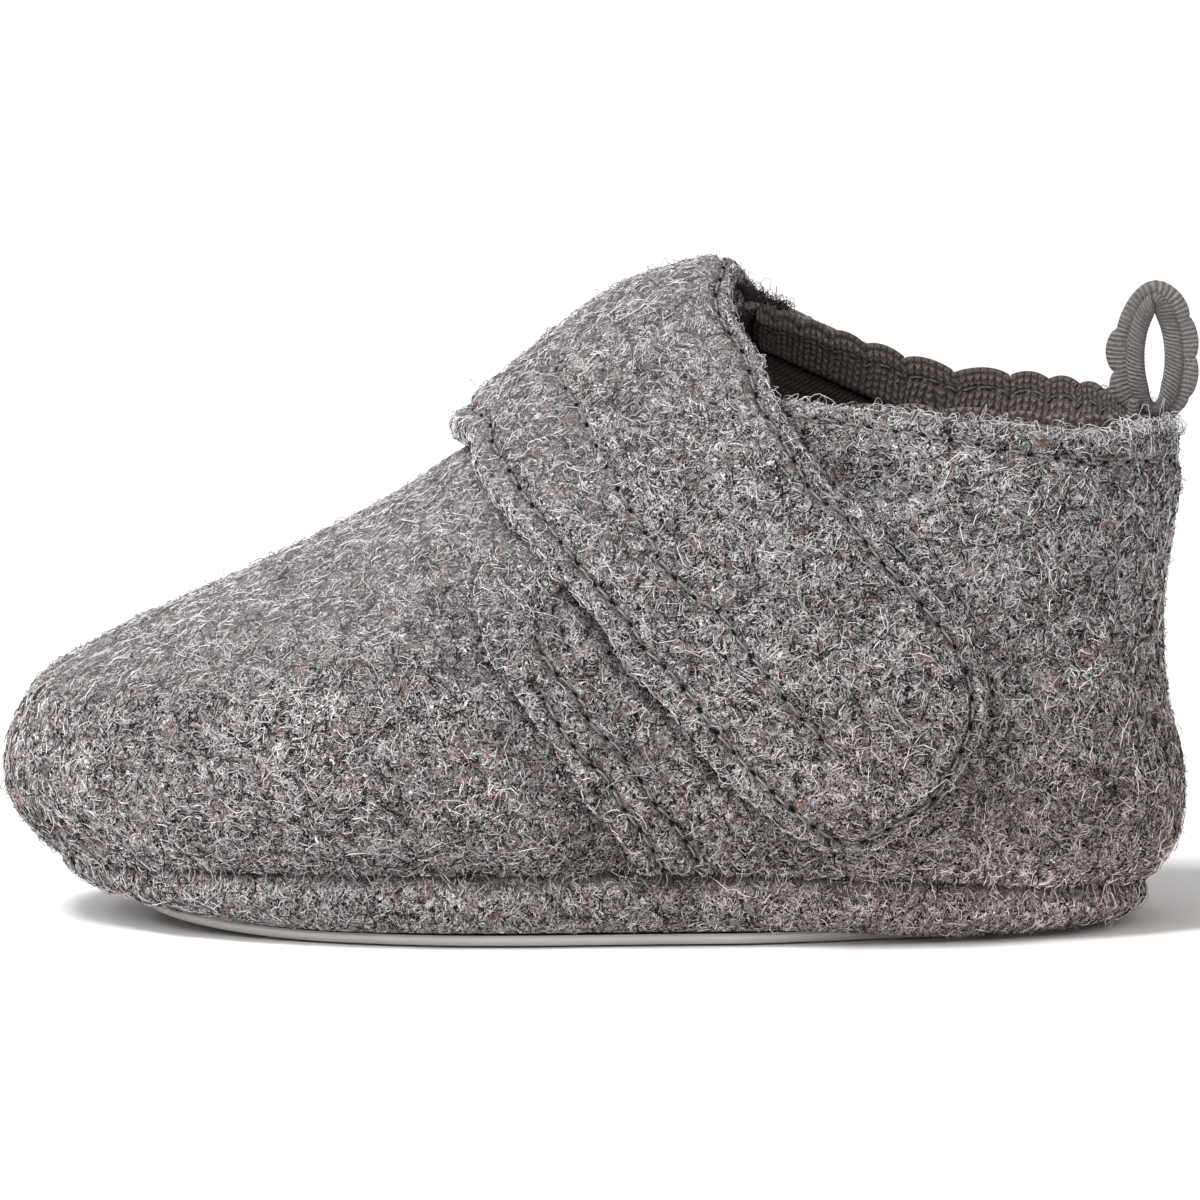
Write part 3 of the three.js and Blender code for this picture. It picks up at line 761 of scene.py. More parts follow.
def spindles(path, out, radius, sides):
    """Many short cords at once, each closed and pointed at both ends.

    At each inner point of a path stands a ring of `sides` corners, turned about the path and
    begun in the direction `out`.
    """
    count, steps = path.shape[:2]
    along = unit(np.gradient(path, axis=1))
    beside = unit(np.cross(along, out))
    lifted = np.cross(beside, along)
    corner = np.arange(sides) / sides * TURN
    ring = (np.cos(corner)[:, None] * lifted[:, 1:-1, None]
            + np.sin(corner)[:, None] * beside[:, 1:-1, None])
    ring = path[:, 1:-1, None] + radius[:, 1:-1, None, None] * ring
    rings = steps - 2
    points = np.concatenate(
        [path[:, :1], ring.reshape(count, rings * sides, 3), path[:, -1:]], axis=1)
    k = np.arange(sides)
    tail = rings * sides + 1
    start = np.stack([np.zeros(sides, int), 1 + (k + 1) % sides, 1 + k], -1)
    end = np.stack([np.full(sides, tail), tail - sides + k, tail - sides + (k + 1) % sides], -1)
    cells = grid_faces(rings, sides, wrap_columns=True) + 1
    one = outward(points[0] - points[0].mean(0), np.concatenate([start, cells, end]))
    faces = (one[None] + (np.arange(count) * (tail + 1))[:, None, None]).reshape(-1, 3)
    return points.reshape(-1, 3), faces


def curls(cloth, row, column, heading, length, bend, lift, sink, radius, rings, daring=None):
    """Curled fibres that hug the wool, and which of them are kept.

    A fibre that crosses a place pressed harder than its daring is left out.

    Flat on the wool a fibre is an arc whose heading turns evenly by `bend` from end to end. Its
    height is -sink + (sink + lift) sin(pi s), measured out from the cloth where it passes.
    """
    down = cloth.read(cloth.down, row, column)
    across = cloth.read(cloth.across, row, column)
    normal = unit(cloth.read(cloth.normals, row, column))
    side = unit(across)
    other = np.cross(normal, side)
    s = np.linspace(0, 1, rings + 2)
    bend = np.where(np.abs(bend) < 0.02, 0.02, bend)[:, None]
    turn = heading[:, None] + bend * (s - 0.5)
    first = turn[:, :1]
    x = (np.sin(turn) - np.sin(first)) / bend * length[:, None]
    y = (np.cos(first) - np.cos(turn)) / bend * length[:, None]
    x, y = x - x.mean(1, keepdims=True), y - y.mean(1, keepdims=True)
    offset = x[..., None] * side[:, None] + y[..., None] * other[:, None]
    a, b, c = ((down * down).sum(-1)[:, None], (down * across).sum(-1)[:, None],
               (across * across).sum(-1)[:, None])
    by_down, by_across = (offset * down[:, None]).sum(-1), (offset * across[:, None]).sum(-1)
    area = np.maximum(a * c - b * b, 1e-16)
    rows = row[:, None] + (c * by_down - b * by_across) / area
    columns = column[:, None] + (a * by_across - b * by_down) / area
    if daring is None:
        keep = np.ones(len(row), bool)
    else:
        between = lambda v: np.concatenate([v, (v[:, 1:] + v[:, :-1]) / 2], 1)
        crossed = cloth.read(cloth.pressed[..., None], between(rows), between(columns))[..., 0]
        keep = crossed.max(1) < daring
        rows, columns, sink, lift, radius = (v[keep] for v in (rows, columns, sink, lift, radius))
    out = unit(cloth.read(cloth.normals, rows, columns))
    rise = -sink[:, None] + (sink + lift)[:, None] * np.sin(math.pi * s)
    path = cloth.read(cloth.grid, rows, columns) + out * rise[..., None]
    path[..., 2] = np.maximum(path[..., 2], 0.12 * MM)
    wide = radius[:, None] * (0.7 + 0.3 * np.sin(math.pi * s))
    return (*spindles(path, out, wide, 3), keep)


# ---- The wool's surfaces


def depth_under(last, lap, around, up, points):
    """How far each place lies inside a lap's outline, in metres; negative outside it."""
    loop = lap.outline()
    far = distance_to(points, last.point(loop[:, 0], loop[:, 1]))
    flat = np.stack([around, up], -1).reshape(-1, 2)
    inside = np.concatenate([inside_loop(flat[i:i + BATCH], loop)
                             for i in range(0, len(flat), BATCH)])
    return np.where(inside.reshape(around.shape), far, -far)


def upper_surface(last, sizes, strap, facing):
    """The upper's outside: the last's form, with the felt's relief, folds and seams."""
    around, up = np.meshgrid(np.arange(AROUND) / AROUND, np.linspace(0, 1, UPPER_RISE))
    up = up * last.rim(around[0])
    form = last.point(around, up)
    out = last.normal(around, up)
    over_seam = np.linalg.norm(form - form[:1], axis=-1) / MM
    under_mouth = np.linalg.norm(form - form[-1:], axis=-1) / MM
    relief = wool_relief(form) + fold_relief(last, form)
    relief -= 0.30 * MM * bell(over_seam, 0.7)
    relief += 0.15 * MM * bell(over_seam - 4.0, 2.4)
    relief -= 0.35 * MM * bell(under_mouth - COLLAR_ROW, 0.7)
    relief -= 0.25 * MM * bell(under_mouth, 0.8)
    # Pressed in the sole seam and the collar row; this also darkens the wool there as painted
    # shade in their grooves.
    pressed = np.maximum(0.3 * bell(over_seam, 0.6), 0.6 * bell(under_mouth - COLLAR_ROW, 0.7))
    front = on_top(last, facing, inset_row(facing, 0.0, 0.0, 0.62, 200), 0.0)
    for lap, trough, reach in ((strap, 0.50, 1.9), (facing, 0.55, 2.4)):
        depth = depth_under(last, lap, around, up, form) / MM
        beside = -np.minimum(depth, 0)
        if lap is facing:
            beside = np.where(depth > 0, 0, distance_to(form, front) / MM)
        # Painted shadow: beside a lap's edge the wool counts as pressed, which darkens it as the
        # lap's shadow would.
        pressed = np.maximum(pressed, 0.85 * bell(beside, 1.3))
        relief -= trough * MM * bell(beside, reach)
        covered = eased(depth, -0.6, 1.2)
        relief = relief * (1 - covered) - 0.35 * MM * covered
    return around, up, form, form + out * relief[..., None], out, pressed


def rim_rows(last, around, edge, wall, height, count):
    """Rows over the mouth's cut edge, from its outside to its inside.

    Each goes straight across the wall, and is raised by a half sine along the way up.
    """
    rim = last.rim(around)
    inside = last.at(around, rim, -wall)
    rising = unit(last.point(around, rim) - last.point(around, rim - 0.03))
    t = np.linspace(0, 1, count + 2)[1:-1, None, None]
    across = (1 - np.cos(math.pi * t)) / 2
    return edge * (1 - across) + inside * across + rising * height * np.sin(math.pi * t)


def lapped_surface(last, lap, rows, columns, lift, thick, corner, relief):
    """A lapped sheet's outside and underside, which meet in a rounded cut edge.

    From the edge inwards its thickness grows as the quarter of an ellipse of radius `corner`.
    """
    along, across = np.meshgrid(bunched(rows, 0.35), bunched(columns, 0.75), indexing="ij")
    around, up = lap.place(along, across)
    out = last.normal(around, up)
    form = last.point(around, up)
    width = lap.width(along)
    run = run_along(form[:, columns // 2])[:, None] + 0 * across

    def quarter(distance):
        t = np.clip(distance / corner, 0, 1)
        return (1 - (1 - t) ** 2.3) ** (1 / 2.3)
    full = (quarter(across * width) * quarter((1 - across) * width)
            * quarter(run) * quarter(run[-1:] - run))
    low = lift(along, across)
    high = low + thick(along, across)
    seat = low + 0.25 * (high - low)
    uneven, pressed = relief(form, along, across, width, run)
    top = seat + (high - seat) * full + uneven * full
    bottom = seat + (low - seat) * full
    return (form + out * top[..., None], form + out * bottom[..., None], out,
            along, across, width, run, pressed)


def inset_row(lap, inset, along_from, along_to, count, rear=False):
    """A line along a lap, a fixed distance in from its front edge or its rear one."""
    along = np.linspace(along_from, along_to, count)
    across = inset / lap.width(along)
    return along, 1 - across if rear else across


def strap_rows(lap):
    """The strap's stitch row all round its free edges, and the row across its outer side."""
    tip = 0.038
    front = inset_row(lap, STRAP_EDGE_ROW * MM, 0.985, tip, 260)
    rear = inset_row(lap, STRAP_EDGE_ROW * MM, tip, 0.985, 260, rear=True)
    over_tip = np.linspace(front[1][-1], rear[1][0], 16)[1:-1]
    edge = (np.concatenate([front[0], np.full(14, tip), rear[0]]),
            np.concatenate([front[1], over_tip, rear[1]]))
    second = inset_row(lap, STRAP_CROSS_ROW * MM, 0.135, 0.545, 160)
    return edge, second


def facing_rows(lap):
    """The facing's two stitch rows, side by side."""
    first = inset_row(lap, FACING_LINES[0] * MM, 0.02, 0.46, 120)
    second = inset_row(lap, FACING_LINES[1] * MM, 0.02, 0.60, 120)
    return first, second


def on_top(last, lap, row, height):
    """A row's points, a height over the upper."""
    around, up = lap.place(*row)
    return last.at(around, up, np.full(len(row[0]), height))


def strap_surface(last, sizes, lap):
    """The strap, which rides over the facing where it covers it."""
    edge, second = (on_top(last, lap, row, 3.2 * MM) for row in strap_rows(lap))
    def lift(along, across):
        level = 1 - eased(across, 0, STRAP_LEVEL)
        return (0.4 + lap.lifted(along) * level * 0.9) * MM
    def relief(form, along, across, width, run):
        high = form + 3.2 * MM * last.normal(*lap.place(along, across))
        swell = 0.9 * wool_relief(form + 0.011)
        to_edge, to_second = distance_to(high, edge), distance_to(high, second)
        beside = np.minimum(across, 1 - across) * width
        total = (swell - 0.68 * MM * bell(to_edge, 0.55 * MM)
                 - 0.52 * MM * bell(to_second, 0.55 * MM)
                 + 0.20 * MM * bell(beside - 5 * MM, 2.2 * MM))
        # The pressed share by the stitch rows also darkens the wool there, as painted shade in
        # their grooves.
        near_edge, near_second = bell(to_edge, 0.62 * MM), bell(to_second, 0.62 * MM)
        return total, np.maximum(0.95 * near_edge, 0.85 * near_second)
    thick = lambda along, across: np.full(along.shape, sizes.strap_thick)
    return lapped_surface(last, lap, *STRAP_GRID, lift, thick, 1.05 * MM, relief)


def facing_surface(last, sizes, lap):
    """The facing: two turned layers at its front edge, one behind, thin under the strap."""
    rows = [on_top(last, lap, row, 1.6 * MM) for row in facing_rows(lap)]
    def lift(along, across):
        return (0.3 - 0.55 * eased(across, 0.55, 1.0)) * MM
    def thick(along, across):
        thin = np.maximum(eased(across, 0.5, 1.0), eased(along, FACING_COVERED, 1))
        thin = np.maximum(thin, 0.5 * eased(along, 0.45, 0.75))
        return sizes.facing_thick + (0.5 * MM - sizes.facing_thick) * thin
    def relief(form, along, across, width, run):
        high = form + 1.6 * MM * last.normal(*lap.place(along, across))
        total = 0.55 * wool_relief(form + 0.017)
        pressed = 0
        for row in rows:
            far = distance_to(high, row)
            total = total - 0.62 * MM * bell(far, 0.55 * MM)
            # The pressed share by the stitch rows also darkens the wool there, as painted shade in
            # their grooves.
            pressed = np.maximum(pressed, 0.95 * bell(far, 0.6 * MM))
        return total * (1 - eased(along, FACING_COVERED - 0.1, 0.95)), pressed
    return lapped_surface(last, lap, *FACING_GRID, lift, thick, 0.9 * MM, relief)


def sole_band_rows(last, sizes):
    """The wool sole's outside: a curve from its foot over its bulge to the seam."""
    around = np.arange(AROUND) / AROUND
    foot_z = sizes.outsole_thick + sizes.seam_gap
    foot = last.sole_outline(around, SOLE_FOOT, foot_z)
    seat = last.sole_outline(around, np.array(OUTSOLE_FOOT) + SEAT_INSET, foot_z)
    foot[:, 2] -= 1.15 * MM * eased(foot[:, 0], HEEL_LIP[0], HEEL_LIP[1])
    rim = last.point(around, np.zeros(AROUND)) - np.array([0, 0, sizes.seam_gap])
    bulge = last.sole_outline(around, SOLE_BULGE, 0)
    bulge[:, 2] = (foot[:, 2] + rim[:, 2]) / 2
    middle = 2 * bulge - (foot + rim) / 2
    t = np.linspace(0, 1, BAND_RISE)[:, None, None]
    form = (1 - t) ** 2 * foot + 2 * t * (1 - t) * middle + t**2 * rim
    shape = (BAND_RISE, AROUND)
    out = last.normal(np.broadcast_to(around, shape), np.zeros(shape))
    out = unit(out * np.array([1, 1, 0.0]))
    under_rim = (rim[:, 2] - form[..., 2]) / MM
    over_foot = (form[..., 2] - foot[:, 2]) / MM
    relief = 0.8 * wool_relief(form + 0.023) + 0.40 * MM * bell(under_rim - 2.2, 1.8)
    relief -= 0.10 * MM * bell(under_rim, 0.7)
    relief -= 0.2 * MM * bell(over_foot, 0.8)
    # The fourth value, by the seam, also darkens the band's wool there, as painted shade in the
    # seam's crease.
    return around, form + out * relief[..., None], out, 0.3 * bell(under_rim, 0.5), seat


# ---- Materials, all worked out from the pieces' own places


def add_node(tree, kind, inputs=None, **settings):
    """Adds a shader node; each input is set to a value, or joined to another node's output."""
    made = tree.nodes.new("ShaderNode" + kind)
    for key, value in settings.items():
        setattr(made, key, value)
    for key, value in (inputs or {}).items():
        if isinstance(value, bpy.types.NodeSocket):
            tree.links.new(value, made.inputs[key])
        else:
            made.inputs[key].default_value = value
    return made


def start_material(name, roughness, specular=0.2, sheen=0.0):
    """A material with its shader's constant values set, and its node tree to build on."""
    material = bpy.data.materials.new(name)
    material.use_nodes = True
    tree = material.node_tree
    shader = tree.nodes["Principled BSDF"]
    shader.inputs["Roughness"].default_value = roughness
    shader.inputs["Specular IOR Level"].default_value = specular
    shader.inputs["Sheen Weight"].default_value = sheen
    shader.inputs["Sheen Roughness"].default_value = 0.5
    return material, tree, shader


def arithmetic(tree, operation, a, b=0.0, clamp=False):
    """One sum on two numbers or outputs."""
    return add_node(tree, "Math", {0: a, 1: b}, operation=operation, use_clamp=clamp).outputs[0]


def colour_mix(tree, share, a, b):
    """Two colours mixed by a share."""
    made = add_node(tree, "Mix", {}, data_type="RGBA")
    for socket, value in ((made.inputs[0], share), (made.inputs[6], a), (made.inputs[7], b)):
        if isinstance(value, bpy.types.NodeSocket):
            tree.links.new(value, socket)
        else:
            socket.default_value = value
    return made.outputs[2]


def object_place(tree):
    """The place on the slipper, in metres."""
    return add_node(tree, "TexCoord").outputs["Object"]


def cloud(tree, place, scale, detail):
    """Soft noise from 0 to 1."""
    return add_node(
        tree, "TexNoise", {"Vector": place, "Scale": scale, "Detail": detail}).outputs["Fac"]


def solid(colour):
    """A colour with a full fourth channel, for a shader's input."""
    return (colour[0], colour[1], colour[2], 1.0)


def curly_lines(tree, vector, scale, thin, detail=1.0):
    """Thin winding lines: where noise crosses its middle value, 1 falling to 0 beside."""
    wave = add_node(tree, "TexNoise", {"Vector": vector, "Scale": scale, "Detail": detail,
                                       "Distortion": 1.6}).outputs["Fac"]
    off = arithmetic(tree, "ABSOLUTE", arithmetic(tree, "SUBTRACT", wave, 0.5))
    return arithmetic(tree, "SUBTRACT", 1.0, arithmetic(tree, "MULTIPLY", off, thin), clamp=True)


def join_bump(tree, shader, height, distance):
    """Lets the shader's surface rise by a height, up to a distance in metres."""
    bump = add_node(tree, "Bump", {"Height": height, "Distance": distance, "Strength": 1.0})
    tree.links.new(bump.outputs["Normal"], shader.inputs["Normal"])


def wool_ground(look):
    """Felted wool: two layers of winding fibres on a near-black ground that is painted shade
    between them, with loose pale ones, and painted light on faces that look up.

    The fibres of a layer follow the level lines of a smooth noise, so they wind round its
    peaks. Each stretch of a fibre, inside one cell of a Voronoi pattern, has its own shade.
    """
    material, tree, shader = start_material("felted_wool", 1.0, 0.05, 0.0)
    place = object_place(tree)
    own = add_node(tree, "Attribute", {}, attribute_name="tone").outputs["Color"]

    def layer(scale, levels, shift):
        moved = add_node(tree, "VectorMath", {0: place, 1: (shift, 0.7 * shift, -shift)},
                         operation="ADD").outputs[0]
        wave = add_node(tree, "TexNoise", {"Vector": moved, "Scale": scale, "Detail": 1.5,
                                           "Distortion": 1.2}).outputs["Fac"]
        level = arithmetic(tree, "MULTIPLY", wave, levels)
        off = arithmetic(tree, "ABSOLUTE", arithmetic(
            tree, "SUBTRACT", arithmetic(tree, "FRACT", level), 0.5))
        body = add_node(tree, "MapRange", {"Value": off, "From Min": 0.27,
                                           "From Max": 0.15}).outputs[0]
        cell = add_node(
            tree, "TexVoronoi", {"Vector": moved, "Scale": scale * 1.4}).outputs["Color"]
        shade = add_node(tree, "TexWhiteNoise", {
            "Vector": cell, "W": arithmetic(tree, "FLOOR", level)},
            noise_dimensions="4D").outputs["Value"]
        return body, shade

    lower, lower_shade = layer(560, 11, 0.0)
    upper, upper_shade = layer(820, 9, 0.37)
    loose = curly_lines(tree, place, 1250, 24, 1.0)
    mottle = cloud(tree, place, 240, 3.0)
    patch = cloud(tree, place, 520, 1.0)
    rosy = arithmetic(tree, "MULTIPLY", arithmetic(tree, "SUBTRACT", patch, 0.60), 7.0, clamp=True)
    ground, middle, light = solid(look.ground), solid(look.middle), solid(look.light)
    # Painted shade: the near-black ground shows in the gaps between the lower layer's fibres.
    colour = colour_mix(tree, lower, ground, colour_mix(
        tree, lower_shade, solid([0.03 * c for c in look.middle]),
        solid([1.15 * c for c in look.middle])))
    over = arithmetic(tree, "GREATER_THAN", upper_shade, 0.45)
    shows = arithmetic(tree, "MULTIPLY", upper, over)
    colour = colour_mix(tree, shows, colour, colour_mix(
        tree, upper_shade, solid([0.4 * c for c in look.middle]), light))
    colour = colour_mix(tree, arithmetic(tree, "MULTIPLY", loose, 0.85), colour, light)
    colour = colour_mix(tree, arithmetic(tree, "MULTIPLY", rosy, 0.4), colour, solid(look.fleck))
    # Painted light: the more a face looks up, the more its colour is drawn to an even pale grey,
    # as lit from above.
    facing = add_node(tree, "SeparateXYZ", {
        "Vector": add_node(tree, "TexCoord").outputs["Normal"]}).outputs["Z"]
    up = add_node(tree, "MapRange", {"Value": facing, "From Min": 0.40, "From Max": 0.95,
                                     "To Max": 0.32}).outputs[0]
    colour = colour_mix(tree, up, colour, solid([1.1 * c for c in look.middle]))
    shade = add_node(tree, "MapRange", {"Value": mottle, "From Min": 0.3, "From Max": 0.7,
                                        "To Min": 0.75, "To Max": 1.15}).outputs[0]
    colour = add_node(tree, "VectorMath", {0: colour, 1: shade}, operation="MULTIPLY").outputs[0]
    colour = add_node(tree, "VectorMath", {0: colour, 1: own}, operation="MULTIPLY").outputs[0]
    tree.links.new(colour, shader.inputs["Base Color"])
    height = arithmetic(tree, "ADD", arithmetic(tree, "ADD", lower, shows), loose)
    join_bump(tree, shader, height, 0.00020)
    return material


def wool_fibre():
    """Single fibres: each has its own colour, a little uneven along its length."""
    material, tree, shader = start_material("wool_fibre", 0.9, 0.08, 0.0)
    own = add_node(tree, "Attribute", {}, attribute_name="tone").outputs["Color"]
    place = object_place(tree)
    streak = cloud(tree, place, 900, 2.0)
    shade = add_node(tree, "MapRange", {"Value": streak, "From Min": 0.25, "From Max": 0.75,
                                        "To Min": 0.8, "To Max": 1.2}).outputs[0]
    colour = add_node(tree, "VectorMath", {0: own, 1: shade}, operation="MULTIPLY").outputs[0]
    tree.links.new(colour, shader.inputs["Base Color"])
    join_bump(tree, shader, streak, 0.00003)
    return material


def knitted(name, colour, pitch, row_pitch, light, slope=None):
    """Knitting, from a map in millimetres: columns of slanted loops with lines of painted shade
    between.

    A column's height is a half sine across it. Its loops are a sine down it, later by half a
    loop from the column's middle to its edges. With a slope there are no columns, and the
    loops are strands that slant by it.
    """
    material, tree, shader = start_material(name, 0.95, 0.15, 0.1)
    spot = add_node(tree, "UVMap", {}, uv_map="cloth").outputs[0]
    place = object_place(tree)
    parts = add_node(tree, "SeparateXYZ", {0: spot})
    u = arithmetic(tree, "DIVIDE", parts.outputs[0], pitch)
    v = arithmetic(tree, "DIVIDE", parts.outputs[1], row_pitch)
    wobble = cloud(tree, place, 500, 1.0)
    u = arithmetic(tree, "ADD", u, arithmetic(tree, "MULTIPLY", wobble, 0.35))
    side = arithmetic(tree, "ABSOLUTE", arithmetic(
        tree, "SUBTRACT", arithmetic(tree, "FRACT", u), 0.5))
    column = arithmetic(tree, "COSINE", arithmetic(tree, "MULTIPLY", side, math.pi))
    if slope is not None:
        strayed = arithmetic(tree, "ADD", parts.outputs[0], arithmetic(
            tree, "MULTIPLY", wobble, 0.5))
        side, column = arithmetic(tree, "MULTIPLY", strayed, slope / row_pitch), 1.0
    phase = arithmetic(tree, "MULTIPLY", arithmetic(tree, "ADD", v, side), TURN)
    loops = arithmetic(tree, "ADD", arithmetic(
        tree, "MULTIPLY", arithmetic(tree, "SINE", phase), 0.5), 0.5)
    height = arithmetic(tree, "MULTIPLY", column, arithmetic(
        tree, "ADD", arithmetic(tree, "MULTIPLY", loops, 0.6), 0.4))
    hairs = curly_lines(tree, place, 1800, 12)
    # Painted shade and highlight: a quarter of the yarn's colour in the grooves, `light` times it
    # on the loops' tops; the hairs add lighter fibres.
    relief_light_and_hairs = arithmetic(tree, "ADD", height, arithmetic(tree, "MULTIPLY", hairs, 0.3), clamp=True)
    dark = solid([c * 0.25 for c in colour])
    bright = solid([min(1, c * light) for c in colour])
    mixed = colour_mix(tree, relief_light_and_hairs, dark, bright)
    tree.links.new(mixed, shader.inputs["Base Color"])
    join_bump(tree, shader, arithmetic(tree, "ADD", height, arithmetic(
        tree, "MULTIPLY", hairs, 0.4)), 0.00035)
    return material


def felt_sheet(look):
    """The insole's pressed felt: fine, even and a little mottled."""
    material, tree, shader = start_material("insole_felt", 1.0, 0.1, 0.1)
    place = object_place(tree)
    lines = curly_lines(tree, place, 1300, 9)
    mottle = cloud(tree, place, 150, 4.0)
    colour = colour_mix(tree, lines, solid([c * 0.5 for c in look.insole]), solid(look.insole))
    colour = colour_mix(tree, arithmetic(tree, "MULTIPLY", mottle, 0.5), colour,
                        solid([c * 1.6 for c in look.insole]))
    tree.links.new(colour, shader.inputs["Base Color"])
    join_bump(tree, shader, lines, 0.00015)
    return material


def sewing_thread(name, thread):
    """Spun thread: fine slanted plies, in one dull colour, with painted shade between the plies.
    """
    material, tree, shader = start_material(name, 0.7, 0.3)
    place = object_place(tree)
    plies = add_node(tree, "TexWave", {"Vector": place, "Scale": 900, "Distortion": 2.0},
                     bands_direction="DIAGONAL").outputs["Fac"]
    # Painted shade: the thread is darkened to 0.4 between its plies.
    colour = colour_mix(tree, plies, solid([c * 0.4 for c in thread]), solid(thread))
    tree.links.new(colour, shader.inputs["Base Color"])
    join_bump(tree, shader, plies, 0.00005)
    return material


def needle_hole_shade(look):
    """Painted shade: near-black blobs that stand for the shadow in the dimple where the needle
    went in.
    """
    material, tree, shader = start_material("needle_hole_shade", 1.0, 0.0)
    place = object_place(tree)
    lines = curly_lines(tree, place, 1500, 8)
    colour = colour_mix(tree, lines, solid([c * 0.5 for c in look.ground]), solid(look.ground))
    tree.links.new(colour, shader.inputs["Base Color"])
    return material


def thin_rubber(look):
    """The outsole: smooth pale rubber with a very fine grain and faint dust."""
    material, tree, shader = start_material("outsole_rubber", 0.6, 0.2)
    place = object_place(tree)
    grain = cloud(tree, place, 2500, 2.0)
    dust = cloud(tree, place, 60, 5.0)
    colour = colour_mix(tree, arithmetic(tree, "MULTIPLY", dust, 0.5), solid(look.rubber),
                        solid([c * 0.72 for c in look.rubber]))
    tree.links.new(colour, shader.inputs["Base Color"])
    rough = add_node(tree, "MapRange", {"Value": dust, "To Min": 0.42, "To Max": 0.62}).outputs[0]
    tree.links.new(rough, shader.inputs["Roughness"])
    join_bump(tree, shader, grain, 0.00003)
    return material


# ---- What the operators share

MADE = {}


def setting():
    """The sizes, colours, fibre sizes and stage values of the scene."""
    scene = bpy.context.scene
    return scene.slipper_sizes, scene.slipper_wool, scene.slipper_nap, scene.slipper_stage


def forms():
    """The last and the two laps, made once."""
    if "last" not in MADE:
        last = Last(setting()[0])
        MADE.update(last=last, strap=Lap(last, STRAP_ROWS), facing=Lap(last, FACING_ROWS))
    return MADE["last"], MADE["strap"], MADE["facing"]


def made(name):
    """Something that an earlier operator has left for the next ones."""
    if name not in MADE:
        raise RuntimeError("make " + name + " first")
    return MADE[name]


def material_of(name):
    """A material, made the first time that it is asked for."""
    look = setting()[1]
    makers = {
        "wool": lambda: wool_ground(look), "fibre": wool_fibre,
        "lining": lambda: knitted("lining_knit", look.lining, 1.05, 1.3, 2.2),
        "edging": lambda: knitted("scalloped_edging", look.edging, 0.9, 0.8, 2.2),
        "loop": lambda: knitted("loop_edging", look.loop, 1.0, 0.46, 2.0, 1.0),
        "insole": lambda: felt_sheet(look),
        "thread": lambda: sewing_thread("sewing_thread", look.thread),
        "dark thread": lambda: sewing_thread("edging_thread", [c * 0.45 for c in look.thread]),
        "rubber": lambda: thin_rubber(look), "hole": lambda: needle_hole_shade(look),
    }
    if "material " + name not in MADE:
        MADE["material " + name] = makers[name]()
    return MADE["material " + name]


# ---- Operators, one for each piece or group of like pieces


class SlipperPart:
    """What all the slipper's operators have in common"""

    bl_options = {"REGISTER"}


class SLIPPER_OT_upper(SlipperPart, bpy.types.Operator):
    """Makes the upper's wool wall and its knitted lining"""

    bl_idname = "slipper.upper"
    bl_label = "Upper and Lining"

    def execute(self, context):
        sizes = setting()[0]
        last, strap, facing = forms()
        around, up, form, outside, out, pressed = upper_surface(last, sizes, strap, facing)
        rim = rim_rows(last, around[0], outside[-1], sizes.wall, 0.6 * MM, 6)
        falling = np.linspace(1, 0, 12)[:, None] * last.rim(around[0])
        inside = last.at(np.broadcast_to(around[0], falling.shape), falling, -sizes.wall
                         * np.ones_like(falling))
        grid = np.concatenate([outside, rim, inside])
        points, faces = closed_round(grid)
        new_piece("upper_wool", points, faces, material_of("wool"),
                  tone=painted_shade_tone(points, pressed), node="upper")
        shown = np.concatenate([outside, rim[:4]])
        MADE["upper cloth"] = Cloth(shown, np.concatenate([out, np.repeat(out[-1:], 4, 0)]), True,
                                    np.concatenate([pressed, 0 * pressed[:4]]))
        MADE["upper places"] = (around, up, form)

        rows, count = 24, 200
        around, up = np.meshgrid(np.arange(count) / count, np.linspace(0.03, 0.985, rows))
        up = up * last.rim(around[0])
        near = last.at(around, up, np.full(up.shape, -sizes.wall - 0.26 * MM))
        far = last.at(around, up, np.full(up.shape, -sizes.wall - 0.03 * MM))
        run = np.cumsum(np.linalg.norm(np.roll(near[rows // 2], -1, 0) - near[rows // 2], axis=-1))
        rise = np.linalg.norm(near - near[-1:], axis=-1)
        uv = np.stack([np.broadcast_to(run, (rows, count)), rise], -1) / MM
        uv = np.concatenate([uv, uv[::-1]]).reshape(-1, 2)
        points, faces = closed_round(np.concatenate([near, far[::-1]]))
        new_piece("lining_knit", points, faces, material_of("lining"), uv=uv)
        return {"FINISHED"}


